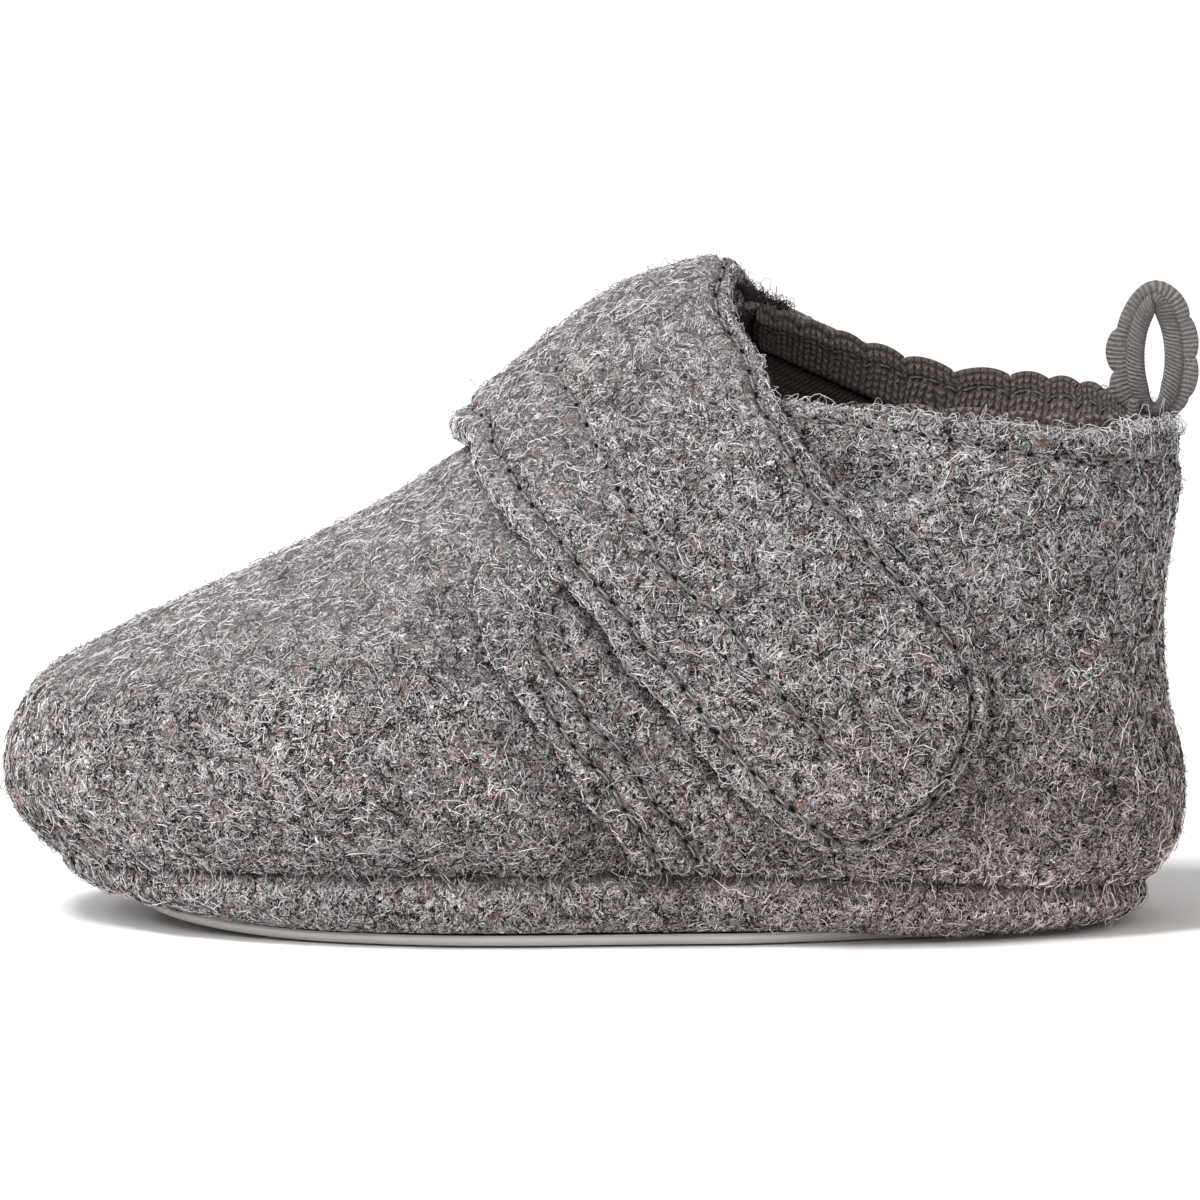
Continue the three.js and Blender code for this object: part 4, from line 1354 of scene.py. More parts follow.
class SLIPPER_OT_sole(SlipperPart, bpy.types.Operator):
    """Makes the wool sole, the insole and the thin outsole with its tread dots"""

    bl_idname = "slipper.sole"
    bl_label = "Sole"

    def execute(self, context):
        sizes = setting()[0]
        last = forms()[0]
        around, band, out, pressed, seat = sole_band_rows(last, sizes)
        count = len(around)
        floor_z = sizes.outsole_thick + sizes.seam_gap + SOLE_FLOOR * MM
        inner = last.at(around, np.zeros(count), np.full(count, -sizes.wall))
        inner[:, 2] -= sizes.seam_gap
        floor = inner.copy()
        floor[:, 2] = floor_z + last.sole_spring(inner[:, 0])
        t = np.linspace(0, 1, 6)[1:, None, None]
        over = band[-1] * (1 - t) + inner * t
        grid = np.concatenate([band, over, floor[None], seat[None]])
        points, faces = capped(np.roll(grid, 1, axis=0))
        new_piece("wool_sole_band", points, faces, material_of("wool"),
                  tone=painted_shade_tone(points, np.concatenate([pressed[:1], pressed])),
                  node="wool_sole")
        MADE["band cloth"] = Cloth(band, out, True, pressed)

        around = np.arange(200) / 200
        ring = lambda out, z: np.stack([*(last.at(around, np.zeros(200), np.full(200, out)).T[:2]),
                                        z + 0 * around], -1)
        start = floor_z + sizes.seam_gap
        grid = np.stack([ring(-inset * MM, start + z * MM) for inset, z in INSOLE_RINGS])
        grid[..., 2] += last.sole_spring(grid[..., 0])
        points, faces = capped(grid)
        new_piece("insole_sheet", points, faces, material_of("insole"),
                  node="insole")

        low, thick = 0.22 * MM, sizes.outsole_thick
        top, base = np.array(OUTSOLE_TOP), np.array(OUTSOLE_FOOT)
        rings = [(base + 0.35, low), (base, low + 0.12 * MM), (top + 0.1, 0.55 * thick),
                 (top, 0.75 * thick), (top + 0.05, 0.92 * thick), (top + 0.4, thick)]
        grid = np.stack([last.sole_outline(around, inset, z) for inset, z in rings])
        grid[..., 1] *= 1 - 0.13 * eased(grid[..., 0], HEEL_LIP[0] - 0.006, HEEL_LIP[1] - 0.006)
        points, faces = joined([capped(grid), self.tread_dots(last, grid[1], low)])
        new_piece("outsole_rubber", points, faces, material_of("rubber"),
                  node="outsole")
        return {"FINISHED"}

    def tread_dots(self, last, outline, low):
        """Low round dots in rows set off by half a step, inside the outsole's outline.

        A dot's height falls from its middle as one minus the square of the radius.
        """
        x, y = np.meshgrid(np.arange(-60, 60, 4.2), np.arange(-30, 30, 3.6))
        x = (x + 2.1 * (np.arange(len(x)) % 2)[:, None]) * MM
        spots = np.stack([x, y * MM], -1).reshape(-1, 2)
        inner = outline[:, :2] * 0 + outline[:, :2].mean(0)
        edge = outline[:, :2] + 2.2 * MM * unit(inner - outline[:, :2])
        spots = spots[inside_loop(spots, edge)]
        sides = 12
        turn = np.arange(sides) / sides * TURN
        radii = np.array([1.15, 1.0, 0.6]) * MM
        heights = np.array([low + 0.06 * MM, 0.05 * MM, 0.0])
        ring = np.stack([np.cos(turn), np.sin(turn)], -1)
        flat = spots[:, None, None] + radii[:, None, None] * ring
        z = np.broadcast_to(heights[:, None], (len(spots), 3, sides))
        rings = np.concatenate([flat, z[..., None]], -1).reshape(len(spots), 3 * sides, 3)
        middle = lambda height: np.concatenate([spots, np.full((len(spots), 1), height)], -1)
        points = np.concatenate([rings, middle(low + 0.06 * MM)[:, None],
                                 middle(0.0)[:, None]], axis=1)
        points[..., 2] += last.sole_spring(points[..., 0])
        k = np.arange(sides)
        n = (k + 1) % sides
        one = np.concatenate([
            grid_faces(3, sides, wrap_columns=True),
            np.stack([np.full(sides, 3 * sides), n, k], -1),
            np.stack([np.full(sides, 3 * sides + 1), 2 * sides + k, 2 * sides + n], -1)])
        one = outward(points[0] - points[0].mean(0), one)
        step = (np.arange(len(spots)) * (3 * sides + 2))[:, None, None]
        return points.reshape(-1, 3), (one[None] + step).reshape(-1, 3)


class SLIPPER_OT_laps(SlipperPart, bpy.types.Operator):
    """Makes the facing and the strap, lapped over the upper with rounded cut edges"""

    bl_idname = "slipper.laps"
    bl_label = "Facing and Strap"

    def execute(self, context):
        sizes = setting()[0]
        last, strap, facing = forms()
        for name, node, lap, surface in (("facing_wool", "quarter_facing", facing, facing_surface),
                                         ("strap_wool", "strap", strap, strap_surface)):
            top, bottom, out, along, across, width, run, pressed = surface(last, sizes, lap)
            points, faces = closed_sheet(top, bottom)
            new_piece(name, points, faces, material_of("wool"),
                      tone=painted_shade_tone(points, pressed), node=node)
            MADE[name + " cloth"] = Cloth(top, out, False, pressed)
            MADE[name + " places"] = (along, across, width, run)
        return {"FINISHED"}


class SLIPPER_OT_edging(SlipperPart, bpy.types.Operator):
    """Makes the scalloped edging that is sewn inside the mouth"""

    bl_idname = "slipper.edging"
    bl_label = "Collar Edging"

    scallops: bpy.props.IntProperty(
        name="Scallops", description="Scallops along the whole edging", default=26, min=4)
    depth: size("Depth", "How far it goes down inside the mouth", 0.0052)
    rise: size("Rise", "Height of a scallop", 0.0011)
    stand: size("Stand", "How far it stands over the wool", 0.0005)
    thickness: size("Thickness", "Thickness of the tape", 0.0010)

    def execute(self, context):
        sizes = setting()[0]
        last = forms()[0]
        share = np.linspace(0, 1, self.scallops * 12 + 1)
        around = -0.44 + (0.38 + 0.44) * share
        inner = around < 0
        rim = last.rim(around)
        edge = last.point(around, rim)
        foot_around, foot_up = last.place(inner, edge[:, 0], edge[:, 2] - self.depth)
        foot_around = np.where(inner & (foot_around > 0.5), foot_around - 1, foot_around)
        from_heel = np.abs(2 * share - 1) * self.scallops
        wave = np.abs(np.sin(math.pi * share * self.scallops)) ** 0.6
        top = (self.stand + self.rise * wave) * eased(from_heel, 1, 3)
        below = np.linspace(0, 1, 12)[:, None]
        above = np.linspace(0, 1, 6)[1:, None]
        line = np.concatenate([
            (1 - below) * (foot_around - around) + around,
            np.broadcast_to(around, (5, len(around)))])
        level = np.concatenate([
            foot_up + (rim - foot_up) * below, np.broadcast_to(rim, (5, len(around)))])
        stand = np.concatenate([0 * below + 0 * around, above * top])
        run = run_along(edge)
        down = (self.depth * (1 - np.concatenate([below, np.ones_like(above)]))
                + (top - stand)) / MM
        ends = eased(run, 0, 1.5 * MM) * eased(run[-1] - run, 0, 1.5 * MM)
        full = np.sqrt(1 - (1 - np.clip(down / 0.5, 0, 1)) ** 2) * (0.15 + 0.85 * ends)
        full[0] = 0.15
        ribs = 0.13 * MM * np.abs(np.sin(math.pi * run / (0.95 * MM)))
        groove = 0.22 * MM * np.exp(-((down - EDGING_ROW) / 0.35) ** 2)
        ribs = ribs * np.where(down > 2.5, 1, 0.25) - groove
        middle = -sizes.wall - sizes.seam_gap - self.thickness / 2
        near = middle - (self.thickness / 2 + ribs) * full
        far = middle + self.thickness / 2 * full
        lifted = lambda out: last.at(line, level, out) + stand[..., None] * np.array([0, 0, 1.0])
        near, far = lifted(near), lifted(far)
        points, faces = closed_sheet(near, far)
        under = np.arange(near.size // 3).reshape(near.shape[:2])[1:-1, 1:-1].ravel()
        uv = np.stack([run + 0 * down, down * MM], -1).reshape(-1, 2) / MM
        uv = np.concatenate([uv, uv[under]])
        roll_path = (near[-2] + far[-2]) / 2
        roll = tube(roll_path[4:-4], 0.48 * MM * ends[4:-4] + 0.05 * MM, 8)
        roll_run = np.repeat(run[4:-4], 8) / MM
        roll_uv = np.stack([roll_run, np.tile(np.arange(8) * 0.35, len(run) - 8)], -1)
        roll_uv = np.concatenate([roll_uv, [[0, 0], [0, 0]]])
        points, faces = joined([(points, faces), roll])
        new_piece("collar_edging", points, faces, material_of("edging"),
                  uv=np.concatenate([uv, roll_uv]), node="collar_tape")
        MADE["edging cloth"] = Cloth(near, -last.normal(line, level))
        MADE["edging places"] = (down, run)
        return {"FINISHED"}


class SLIPPER_OT_loop(SlipperPart, bpy.types.Operator):
    """Makes the pull loop of the same edging, with its tab inside the heel"""

    bl_idname = "slipper.loop"
    bl_label = "Pull Loop"

    width: size("Width", "Between the middles of its limbs", 0.0056)
    height: size("Height", "Between its middle at the foot and at the top", 0.0126)
    band: size("Band", "Width of the edging", 0.0034)
    strand: size("Strand", "From one slanted strand to the next", 0.00046, precision=5)

    def execute(self, context):
        sizes = setting()[0]
        last = forms()[0]
        heel_x = last.point(np.array(0.0), np.array(1.0))[0]
        foot_z = sizes.heel_height + sizes.seam_gap + 1.2 * MM
        turns, corners = 420, 18
        turn = np.arange(turns) / turns * TURN
        cos, sin = np.cos(turn), np.sin(turn)
        at_top = bell(turn - TURN / 4, 0.45)
        middle = np.stack([heel_x - 2.8 * MM + self.width / 2 * cos, 0 * cos,
                           foot_z + self.height / 2 * (1 + sin) + 0.7 * MM * at_top], -1)
        away = unit(np.stack([self.height * cos, 0 * cos, self.width * sin], -1))
        run = np.cumsum(np.linalg.norm(np.roll(middle, -1, 0) - middle, axis=-1))
        run = run / run[-1] * round(run[-1] / self.strand) * self.strand
        at_foot = eased(-sin, 0.5, 1)
        rise = self.height / 2 * sin / MM
        scallop = np.where(cos < 0, 0.9 * np.abs(np.sin(math.pi * (rise + 1.4) / 4.2)) ** 0.6
                           * (1 - eased(rise, 2.4, 3.0)),
                           0.45 * np.abs(np.sin(math.pi * rise / 3.9)) ** 0.6)
        scallop = scallop * MM * (1 - at_foot) * (1 - 0.9 * at_top)
        corner = (np.arange(corners) / corners * TURN)[None]
        wander = 0.10 * MM * noise(middle, 2.0 * MM, 62)[:, None]

        def limb(inner, outer, thick, starts, depth):
            """A limb's skin: an oval carried round the loop, with slanted strands on it."""
            phase = (run[:, None] + wander) / self.strand + starts * corner / TURN
            ribs = depth * (2 * np.abs(np.sin(math.pi * phase)) ** 0.8 - 1)
            wide = (outer - inner)[:, None] / 2
            reach = (outer + inner)[:, None] / 2 + np.cos(corner) * (wide + 0.5 * ribs)
            y = np.sign(np.sin(corner)) * np.abs(np.sin(corner)) ** 0.8 * (thick[:, None] + ribs)
            points = middle[:, None] + away[:, None] * reach[..., None]
            points[..., 1] += y + 0.25 * MM * np.sin(3 * turn)[:, None]
            uv = np.stack([starts * self.strand * corner / TURN + 0 * reach,
                           run[:, None] + 0 * reach], -1).reshape(-1, 2) / MM
            return (*closed_round(points), uv)

        crease = bell(turn - TURN / 4 - 0.10, 0.08)
        half = self.band / 2 * (1 - 0.12 * at_top) * (1 - 0.25 * at_foot)
        roll = limb(-half + 0.45 * MM * crease, 0.22 * half, 0.98 * MM - 0.55 * MM * crease, 5,
                    0.075 * MM)
        flange = limb(0.0 * half, half + scallop, np.full(turns, 0.52 * MM), 0, 0.035 * MM)
        points, faces = joined([roll[:2], flange[:2]])
        uv = np.concatenate([roll[2], flange[2]])

        back_x = heel_x - sizes.wall - self.tab_inset(sizes)
        s, t = np.meshgrid(bunched(14, 0.7), bunched(22, 0.7), indexing="ij")
        edge = lambda v, r: (1 - (1 - np.clip(np.minimum(v, 1 - v) / r, 0, 1)) ** 2) ** 0.5
        full = edge(s, 0.16) * edge(t, 0.08)
        y = (s - 0.5) * self.band
        z = foot_z + 1.9 * MM - t * 6.9 * MM
        slab = lambda x: np.stack([x, y, z], -1)
        ribbed = 0.08 * MM * np.sin(TURN * t * 9 + 3 * s)
        tab_near = slab(back_x - 0.7 * MM - (0.7 * MM + ribbed) * full)
        tab_far = slab(back_x - 0.7 * MM + 0.65 * MM * full)
        tab = closed_sheet(tab_near, tab_far)
        tab_uv = np.stack([y, -z], -1).reshape(-1, 2) / MM
        under = np.arange(14 * 22).reshape(14, 22)[1:-1, 1:-1].ravel()
        uv = np.concatenate([uv, tab_uv, tab_uv[under]])
        points, faces = joined([(points, faces), tab])
        new_piece("pull_loop_edging", points, faces, material_of("loop"), uv=uv,
                  node="pull_loop")
        return {"FINISHED"}

    def tab_inset(self, sizes):
        """From the wall's inside to the tab: the edging and a seam gap on both its sides."""
        return 1.0 * MM + 2 * sizes.seam_gap


class SLIPPER_OT_stitches(SlipperPart, bpy.types.Operator):
    """Sews the strap, the facing, the collar and the edging"""

    bl_idname = "slipper.stitches"
    bl_label = "Stitches"

    pitch: size("Pitch", "From one stitch to the next", 0.0030)
    length: size("Length", "What shows of one stitch", 0.0024)
    radius: size("Radius", "Half the thread's thickness", 0.00017, precision=5)

    def sew(self, cloth, rows, columns, scale=1.0, rise=0.22):
        """Stitches along a line on a cloth: each sinks at its ends and arches between them."""
        run = run_along(cloth.read(cloth.grid, rows, columns))

        def on_line(where):
            """The line's points and outward directions at distances along it."""
            index = np.interp(where, run, np.arange(len(run)))
            r, c = (np.interp(index, np.arange(len(run)), v) for v in (rows, columns))
            return cloth.read(cloth.grid, r, c), unit(cloth.read(cloth.normals, r, c))

        pitch, length = self.pitch * scale, self.length * scale
        start = np.arange(pitch / 2, run[-1] - length / 2, pitch)
        s = np.linspace(0, 1, 7)
        path, out = on_line(start[:, None] + (s - 0.5) * length)
        height = (-SUNK + (SUNK + rise) * np.sin(math.pi * s) ** 0.7) * MM
        path = path + out * height[:, None]
        radius = np.full(path.shape[:2], self.radius * (0.6 + 0.4 * scale))
        stitch = spindles(path, out, radius, 6)
        # Painted shade: a dark blob at each needle hole, between two stitches.
        path, out = on_line((start - pitch / 2)[:, None] + np.linspace(-HOLE, HOLE, 5) * MM)
        wide = 0.22 * MM * np.sin(math.pi * np.linspace(0, 1, 5)) + 0.02 * MM
        return stitch, spindles(path, out, np.broadcast_to(wide, path.shape[:2]), 8)

    def execute(self, context):
        last, strap, facing = forms()
        parts = []
        sewn = {"strap_wool": strap_rows(strap), "facing_wool": facing_rows(facing)}
        for name, rows in sewn.items():
            cloth = made(name + " cloth")
            along, across, _, _ = made(name + " places")
            for row in rows:
                r = np.interp(row[0], along[:, 0], np.arange(len(along)))
                c = np.interp(row[1], across[0], np.arange(across.shape[1]))
                parts.append(self.sew(cloth, r, c))
        cloth = made("upper cloth")
        form = made("upper places")[2]
        below = np.linalg.norm(form - form[-1:], axis=-1)
        columns = np.arange(-156, 157)
        rows = np.array([np.interp(-COLLAR_ROW * MM, -below[:, c % AROUND], np.arange(len(form)))
                         for c in columns])
        parts.append(self.sew(cloth, rows, columns + 0.0))
        points, faces = joined([stitch for stitch, _ in parts])
        new_piece("wool_stitches", points, faces, material_of("thread"))
        # Painted shade: the near-black blobs at the needle holes.
        points, faces = joined([hole for _, hole in parts])
        new_piece("needle_holes", points, faces, material_of("hole"))

        cloth = made("edging cloth")
        down, run = made("edging places")
        columns = np.arange(6, len(run) - 6)
        rows = np.array([np.interp(-EDGING_ROW, -down[:, c], np.arange(len(down)))
                         for c in columns])
        points, faces = self.sew(cloth, rows, columns + 0.0, 0.72, 0.16)[0]
        new_piece("edging_stitches", points, faces, material_of("dark thread"))
        return {"FINISHED"}


class SLIPPER_OT_nap(SlipperPart, bpy.types.Operator):
    """Covers the wool with single curled fibres, in a few joined meshes"""

    bl_idname = "slipper.nap"
    bl_label = "Wool Nap"

    seed: bpy.props.IntProperty(
        name="Seed", description="Start of the fibres' random numbers", default=11, min=0)

    def coat(self, cloth, seed, weight, share=1.0, short=1.0, **more):
        """The two fields of a cloth's nap: curled fibres, and short bits between them."""
        return [self.fibres(cloth, seed, weight, 0.62 * share, short, **more),
                self.fibres(cloth, seed + 60, weight, 0.76 * share, 0.45 * short, rings=1, **more)]

    def fibres(self, cloth, seed, weight, share=1.0, short=1.0, folds=0.0, pale=0.0,
               upright=0.0, rings=2):
        """A field of fibres on a cloth, with the points, faces and colours of its mesh.

        Most wind round the nearest whorl, with the bend of a circle there. The rest share a
        heading that turns slowly over the wool. Each then strays a little from its heading.
        """
        _, look, nap, _ = setting()
        rng = np.random.default_rng(self.seed * 1000 + seed)
        pressed = cloth.pressed
        row, column = cloth.scatter(rng, nap.per_mm2 * share, weight * (1 - 0.85 * pressed**4))
        count = len(row)
        spot = cloth.read(cloth.grid, row, column)
        near_seam = cloth.read(pressed[..., None], row, column)[:, 0]
        heading = 5.5 * noise(spot, 5.5 * MM, 21) + rng.normal(0, 0.8, count)
        length = nap.length * short * np.clip(rng.lognormal(-0.12, 0.38, count), 0.35, 2.2)
        length = length * (1 - 0.5 * near_seam)
        bend = np.radians(rng.uniform(35, 165, count)) * rng.choice([-1, 1], count)
        round_whorl, reach, whorl_heading = self.whorls(cloth, rng, spot, row, column)
        follows = rng.random(count) < 0.5
        heading = np.where(follows, whorl_heading + rng.normal(0, 0.5, count), heading)
        stands = rng.random(count) < upright
        follows = follows & ~stands
        heading = np.where(stands, math.pi / 2 + rng.normal(0, 0.45, count), heading)
        circle = round_whorl * length / np.maximum(reach, 0.6 * MM)
        bend = np.where(follows, np.clip(circle, -2.8, 2.8), bend)
        lift = nap.lift * rng.gamma(2.0, 0.5, count) * (1 - 0.8 * near_seam)
        sink = rng.uniform(0.06, 0.22, count) * MM
        # Painted light: on faces that look up, pale fibres are picked more often.
        up = eased(unit(cloth.read(cloth.normals, row, column))[:, 2], 0.40, 0.95)
        pick = rng.random(count) - pale - 0.05 * up + (0.06 if rings == 1 else 0)
        radius = nap.radius * rng.uniform(0.65, 1.25, count) * np.where(pick > 0.70, 1.1, 1)
        daring = np.where(rng.random(count) < 0.2, 2.0, rng.uniform(0.35, 0.7, count))
        points, faces, keep = curls(cloth, row, column, heading, length, bend, lift, sink,
                                    radius, rings, daring)
        light, middle = np.array(look.light), np.array(look.middle)
        ground, fleck = np.array(look.ground), np.array(look.fleck)
        t = rng.random(count)[:, None]
        colour = middle * (0.15 + 1.15 * t)
        lightest = middle + (1.1 * light - middle) * (0.45 + 0.5 * t)
        colour = np.where((pick < 0.36)[:, None], lightest, colour)
        colour = np.where((pick > 0.62)[:, None], ground * (0.3 + 1.4 * t), colour)
        colour = np.where((pick > 0.95)[:, None], fleck * (0.7 + 0.8 * t), colour)
        # Painted light: on faces that look up, the fibres' colours are drawn towards a pale grey.
        colour = colour + (1.35 * middle - colour) * 0.32 * up[:, None]
        # Painted shade: darker by seams, stitch rows and laps' edges; the noise is the wool's own
        # random tone.
        shade = (1 + 0.16 * noise(spot, 8 * MM, 31)) * (1 - 0.5 * near_seam**3)
        # Painted shade in the pit at the middle of each whorl.
        shade = shade * (1 - 0.5 * bell(reach, 0.5 * MM))
        # Painted shade in the folds' troughs and painted light on their ridges, as strong as
        # `folds`.
        shade = shade * np.clip(1 + folds * fold_relief(forms()[0], spot) / MM, 0.4, 1.25)
        colour = (colour * shade[:, None] * painted_warm_cast(spot))[keep]
        return points, faces, np.repeat(opaque(colour), len(points) // len(colour), axis=0)

    def whorls(self, cloth, rng, spot, row, column):
        """For each fibre: which way its whorl turns, how far off its middle is, its heading.

        The whorls' middles are scattered over the cloth. The heading is square to the line to
        the nearest one, measured in the cloth's own plane.
        """
        middle_row, middle_column = cloth.scatter(rng, 1 / 11, np.ones(cloth.grid.shape[:2]))
        middle = cloth.read(cloth.grid, middle_row, middle_column)
        ways = rng.choice([-1.0, 1.0], len(middle))
        nearest = np.concatenate([
            ((spot[i:i + BATCH, None] - middle[None]) ** 2).sum(-1).argmin(1)
            for i in range(0, len(spot), BATCH)])
        off = spot - middle[nearest]
        normal = unit(cloth.read(cloth.normals, row, column))
        side = unit(cloth.read(cloth.across, row, column))
        other = np.cross(normal, side)
        x, y = (off * side).sum(-1), (off * other).sum(-1)
        way = ways[nearest]
        return way, np.hypot(x, y), np.arctan2(way * x, -way * y)

    def strays(self, cloth, seed, weight, share, length, lift, rings=4, pale=0.7):
        """Thin loose hairs that arch off the wool: a share pale, the rest dark."""
        _, look, nap, _ = setting()
        rng = np.random.default_rng(self.seed * 1000 + seed)
        row, column = cloth.scatter(rng, share, weight * (1 - 0.95 * cloth.pressed))
        count = len(row)
        heading = rng.uniform(0, TURN, count)
        long = length * rng.uniform(0.5, 1.5, count)
        bend = np.radians(rng.uniform(40, 230, count)) * rng.choice([-1, 1], count)
        rise = lift * rng.gamma(2.0, 0.5, count)
        sink = rng.uniform(0.1, 0.3, count) * MM
        radius = nap.radius * rng.uniform(0.5, 0.85, count)
        points, faces, _ = curls(cloth, row, column, heading, long, bend, rise, sink,
                                 radius, rings)
        t = rng.random(count)[:, None]
        light, dark = np.array(look.light) * (0.5 + 0.5 * t), np.array(look.ground) * (1 + 3 * t)
        colour = np.where(rng.random(count)[:, None] < pale, light, dark)
        return points, faces, np.repeat(opaque(colour), len(points) // count, axis=0)

    def put(self, name, fields):
        """One mesh of one or more fields of fibres."""
        points, faces = joined([(p, f) for p, f, _ in fields])
        tone = np.concatenate([t for _, _, t in fields])
        if len(faces) > MOST_TRIANGLES:
            raise RuntimeError("%s has %d triangles" % (name, len(faces)))
        new_piece(name, points, faces, material_of("fibre"), tone=tone)

    def execute(self, context):
        last, strap, facing = forms()
        upper = made("upper cloth")
        around, up, form = made("upper places")
        shown = np.ones(upper.grid.shape[:2])
        for lap in (strap, facing):
            under = depth_under(last, lap, around, up, form)
            shown[:len(form)] *= 1 - eased(under, 0.2 * MM, 1.6 * MM)
        rim = np.zeros(shown.shape)
        rim[len(form) - 1:] = shown[len(form) - 1] > 0.5
        shown[len(form):] *= shown[len(form) - 1] > 0.5
        shown[len(form) - 2:] *= np.where(upper.grid[len(form) - 2:, :, 1] > 0, 0.15, 1)
        side = upper.grid[..., 1]
        toe = upper.grid[..., 0] < -0.012
        outer = side < 0
        parts = (("toe_outer", 1, 41, toe & outer, 1.0), ("toe_inner", 2, 42, toe & ~outer, 0.82),
                 ("heel_outer", 3, 43, ~toe & outer, 1.0),
                 ("heel_inner", 4, 45, ~toe & ~outer, 0.82))
        for name, seed, stray_seed, part, share in parts:
            fields = self.coat(upper, seed, shown * part, share, folds=0.7)
            fields.append(self.strays(upper, stray_seed, shown * part, FUZZ, 2.2 * MM, 0.40 * MM))
            if name == "heel_outer":
                x = upper.grid[..., 0]
                # Dark hairs only on the inner rim beside the strap: partly the dark lining side,
                # partly painted shade where that wool lies in shade.
                corner = rim * ~outer * (np.abs(x - 0.0185) < 0.0028)
                fields += [
                    self.strays(upper, 44, rim * outer, 3.4, 2.7 * MM, 0.55 * MM, 7),
                    self.strays(upper, 52, rim * (x > 0.056), 5.0, 2.6 * MM, 0.9 * MM),
                    self.strays(upper, 53, corner, 15.0, 1.8 * MM, 0.55 * MM, 4, 0.0)]
            self.put("nap_" + name, fields)

        cloth = made("strap_wool cloth")
        along, across, width, run = made("strap_wool places")
        edge = np.minimum(np.minimum(across, 1 - across) * width, run)
        near = (cloth.grid[..., 1] < 0) * 1.0
        # The extra fibres along the cut edges lean pale: partly their loose fibres, partly painted
        # light on the edges.
        edging = (edge < 1.1 * MM) * 1.0
        self.put("nap_strap_outer", [
            *self.coat(cloth, 5, near), self.fibres(cloth, 6, edging * near, 0.5, 0.7, pale=0.3),
            self.strays(cloth, 46, near, FUZZ, 2.5 * MM, 0.35 * MM),
            self.strays(cloth, 47, edging * near, 0.8, 2.5 * MM, 0.4 * MM)])
        self.put("nap_strap_inner", [
            *self.coat(cloth, 7, 1 - near, 0.82),
            self.fibres(cloth, 8, edging * (1 - near), 0.4, 0.7, pale=0.3),
            self.strays(cloth, 48, 1 - near, FUZZ, 2.2 * MM, 0.40 * MM)])

        cloth = made("facing_wool cloth")
        along, across, width, run = made("facing_wool places")
        strap_over = depth_under(last, strap, *facing.place(along, across),
                                 last.point(*facing.place(along, across)))
        weight = 1 - eased(strap_over, 0.2 * MM, 1.6 * MM)
        # The extra fibres along the cut edges lean pale: partly their loose fibres, partly painted
        # light on the edges.
        edging = weight * (np.minimum(across * width, run) < 1.0 * MM)
        self.put("nap_facing", [*self.coat(cloth, 9, weight, 1.0, 0.8),
                                self.fibres(cloth, 12, edging, 0.5, 0.7, pale=0.3),
                                self.strays(cloth, 49, weight, FUZZ, 3 * MM, 0.4 * MM)])

        band = made("band cloth")
        weight = np.ones(band.grid.shape[:2])
        weight[:3] = 0.2
        over = np.concatenate([band.grid[-6:-1], upper.grid[1:6]])
        seam = Cloth(over, np.concatenate([band.normals[-6:-1], upper.normals[1:6]]), True)
        self.put("nap_sole_seam", [
            self.fibres(seam, 13, np.ones(over.shape[:2]), 0.55, 0.9, upright=0.85)])
        self.put("nap_band", [*self.coat(band, 10, weight, 1.0, 0.75, upright=0.6),
                              self.strays(band, 50, weight, FUZZ, 2.5 * MM, 0.5 * MM)])
        return {"FINISHED"}


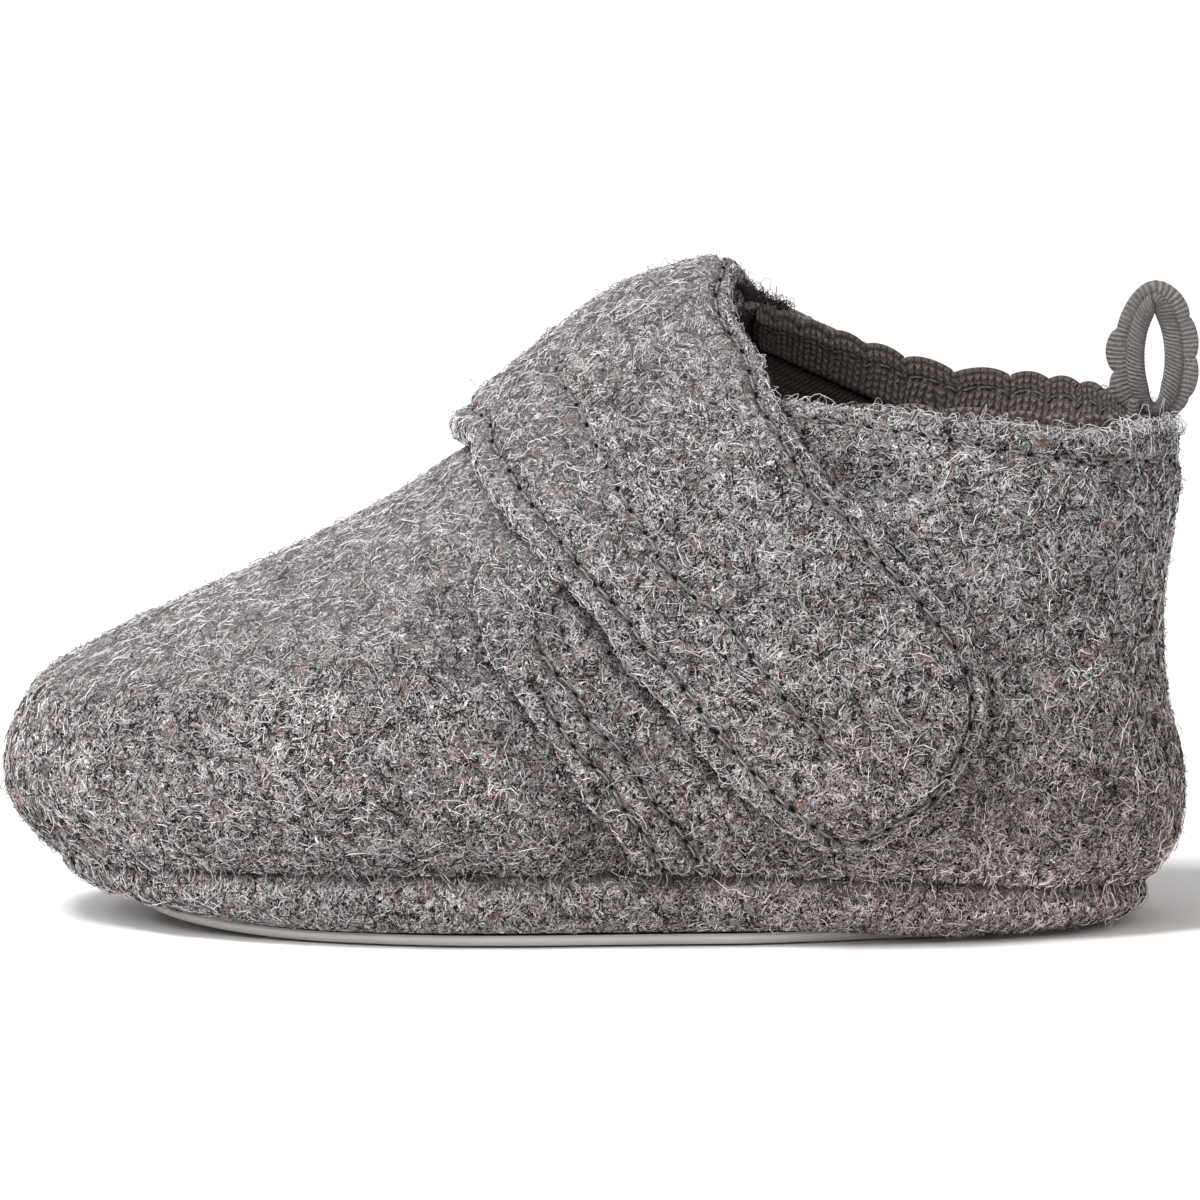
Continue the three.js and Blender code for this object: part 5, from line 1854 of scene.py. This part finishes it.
class SLIPPER_OT_stage(SlipperPart, bpy.types.Operator):
    """Sets the pale floor, the soft lights and the camera at the photograph's angle"""

    bl_idname = "slipper.stage"
    bl_label = "Stage"

    def execute(self, context):
        stage = setting()[3]
        scene = context.scene
        mesh = bpy.data.meshes.new("floor")
        reach = 3.0
        mesh.from_pydata([(-reach, -reach, 0), (reach, -reach, 0), (reach, reach, 0),
                          (-reach, reach, 0)], [], [(0, 1, 2, 3)])
        floor = bpy.data.objects.new("floor", mesh)
        scene.collection.objects.link(floor)
        material, tree, shader = start_material("pale_floor", 0.95, 0.05)
        shader.inputs["Base Color"].default_value = solid(stage.floor)
        mesh.materials.append(material)

        world = bpy.data.worlds.new("studio")
        scene.world = world
        world.use_nodes = True
        world.node_tree.nodes["Background"].inputs[0].default_value = (1, 0.98, 0.965, 1)
        world.node_tree.nodes["Background"].inputs[1].default_value = stage.sky

        def sun(name, strength, spread, azimuth, elevation, colour=(1, 1, 1)):
            light = bpy.data.lights.new(name, "SUN")
            light.color = colour
            light.energy = strength
            light.angle = math.radians(spread)
            lamp = bpy.data.objects.new(name, light)
            a, e = math.radians(azimuth), math.radians(elevation)
            back = Vector((math.sin(a) * math.cos(e), -math.cos(a) * math.cos(e), math.sin(e)))
            lamp.rotation_euler = back.to_track_quat("Z", "Y").to_euler()
            scene.collection.objects.link(lamp)
        sun("key", stage.key, 13, -48, 58)
        near = bpy.data.lights.new("near", "AREA")
        near.energy = stage.near
        near.size = 0.22
        lamp = bpy.data.objects.new("near", near)
        lamp.location = (-0.30, -0.24, 0.30)
        lamp.rotation_euler = Vector((-0.26, -0.24, 0.26)).to_track_quat("Z", "Y").to_euler()
        scene.collection.objects.link(lamp)
        sun("fill", stage.fill, 70, -8, 22, (1, 0.95, 0.92))

        target = Vector((0.66, 0, 35.24)) * MM
        e = stage.elevation
        back = Vector((0, -math.cos(e), math.sin(e)))
        lens = bpy.data.cameras.new("camera")
        lens.sensor_width = 36
        lens.lens = 36 * stage.distance / stage.frame_width
        lens.clip_start, lens.clip_end = 0.05, 20
        camera = bpy.data.objects.new("camera", lens)
        camera.location = target + back * stage.distance
        camera.rotation_euler = back.to_track_quat("Z", "Y").to_euler()
        scene.collection.objects.link(camera)
        scene.camera = camera
        scene.view_settings.view_transform = "Standard"
        scene.view_settings.look = "None"
        return {"FINISHED"}


OPERATORS = (SLIPPER_OT_stage, SLIPPER_OT_upper, SLIPPER_OT_sole, SLIPPER_OT_laps,
             SLIPPER_OT_edging, SLIPPER_OT_loop, SLIPPER_OT_stitches, SLIPPER_OT_nap)
GROUPS = {"slipper_sizes": SlipperSizes, "slipper_wool": WoolLook, "slipper_nap": NapSizes,
          "slipper_stage": StageLook}


class SLIPPER_PT_panel(bpy.types.Panel):
    """The slipper's pieces, sizes and colours in the sidebar"""

    bl_idname = "SLIPPER_PT_panel"
    bl_label = "Boiled Wool Slipper"
    bl_space_type = "VIEW_3D"
    bl_region_type = "UI"
    bl_category = "Slipper"

    def draw(self, context):
        for operator in OPERATORS:
            self.layout.operator(operator.bl_idname)
        for name, group in GROUPS.items():
            box = self.layout.box()
            for value in group.__annotations__:
                box.prop(getattr(context.scene, name), value)


def register():
    """Registers the groups, operators and panel, and puts the groups on the scene."""
    for group in GROUPS.values():
        bpy.utils.register_class(group)
    for operator in OPERATORS:
        bpy.utils.register_class(operator)
    bpy.utils.register_class(SLIPPER_PT_panel)
    for name, group in GROUPS.items():
        setattr(bpy.types.Scene, name, bpy.props.PointerProperty(type=group))


def unregister():
    """Takes back what register did."""
    for name in GROUPS:
        delattr(bpy.types.Scene, name)
    bpy.utils.unregister_class(SLIPPER_PT_panel)
    for operator in reversed(OPERATORS):
        bpy.utils.unregister_class(operator)
    for group in GROUPS.values():
        bpy.utils.unregister_class(group)


def main():
    register()
    bpy.ops.slipper.stage()
    bpy.ops.slipper.upper()
    bpy.ops.slipper.sole()
    bpy.ops.slipper.laps()
    bpy.ops.slipper.edging()
    bpy.ops.slipper.loop()
    bpy.ops.slipper.stitches()
    bpy.ops.slipper.nap()


if __name__ == "__main__":
    main()
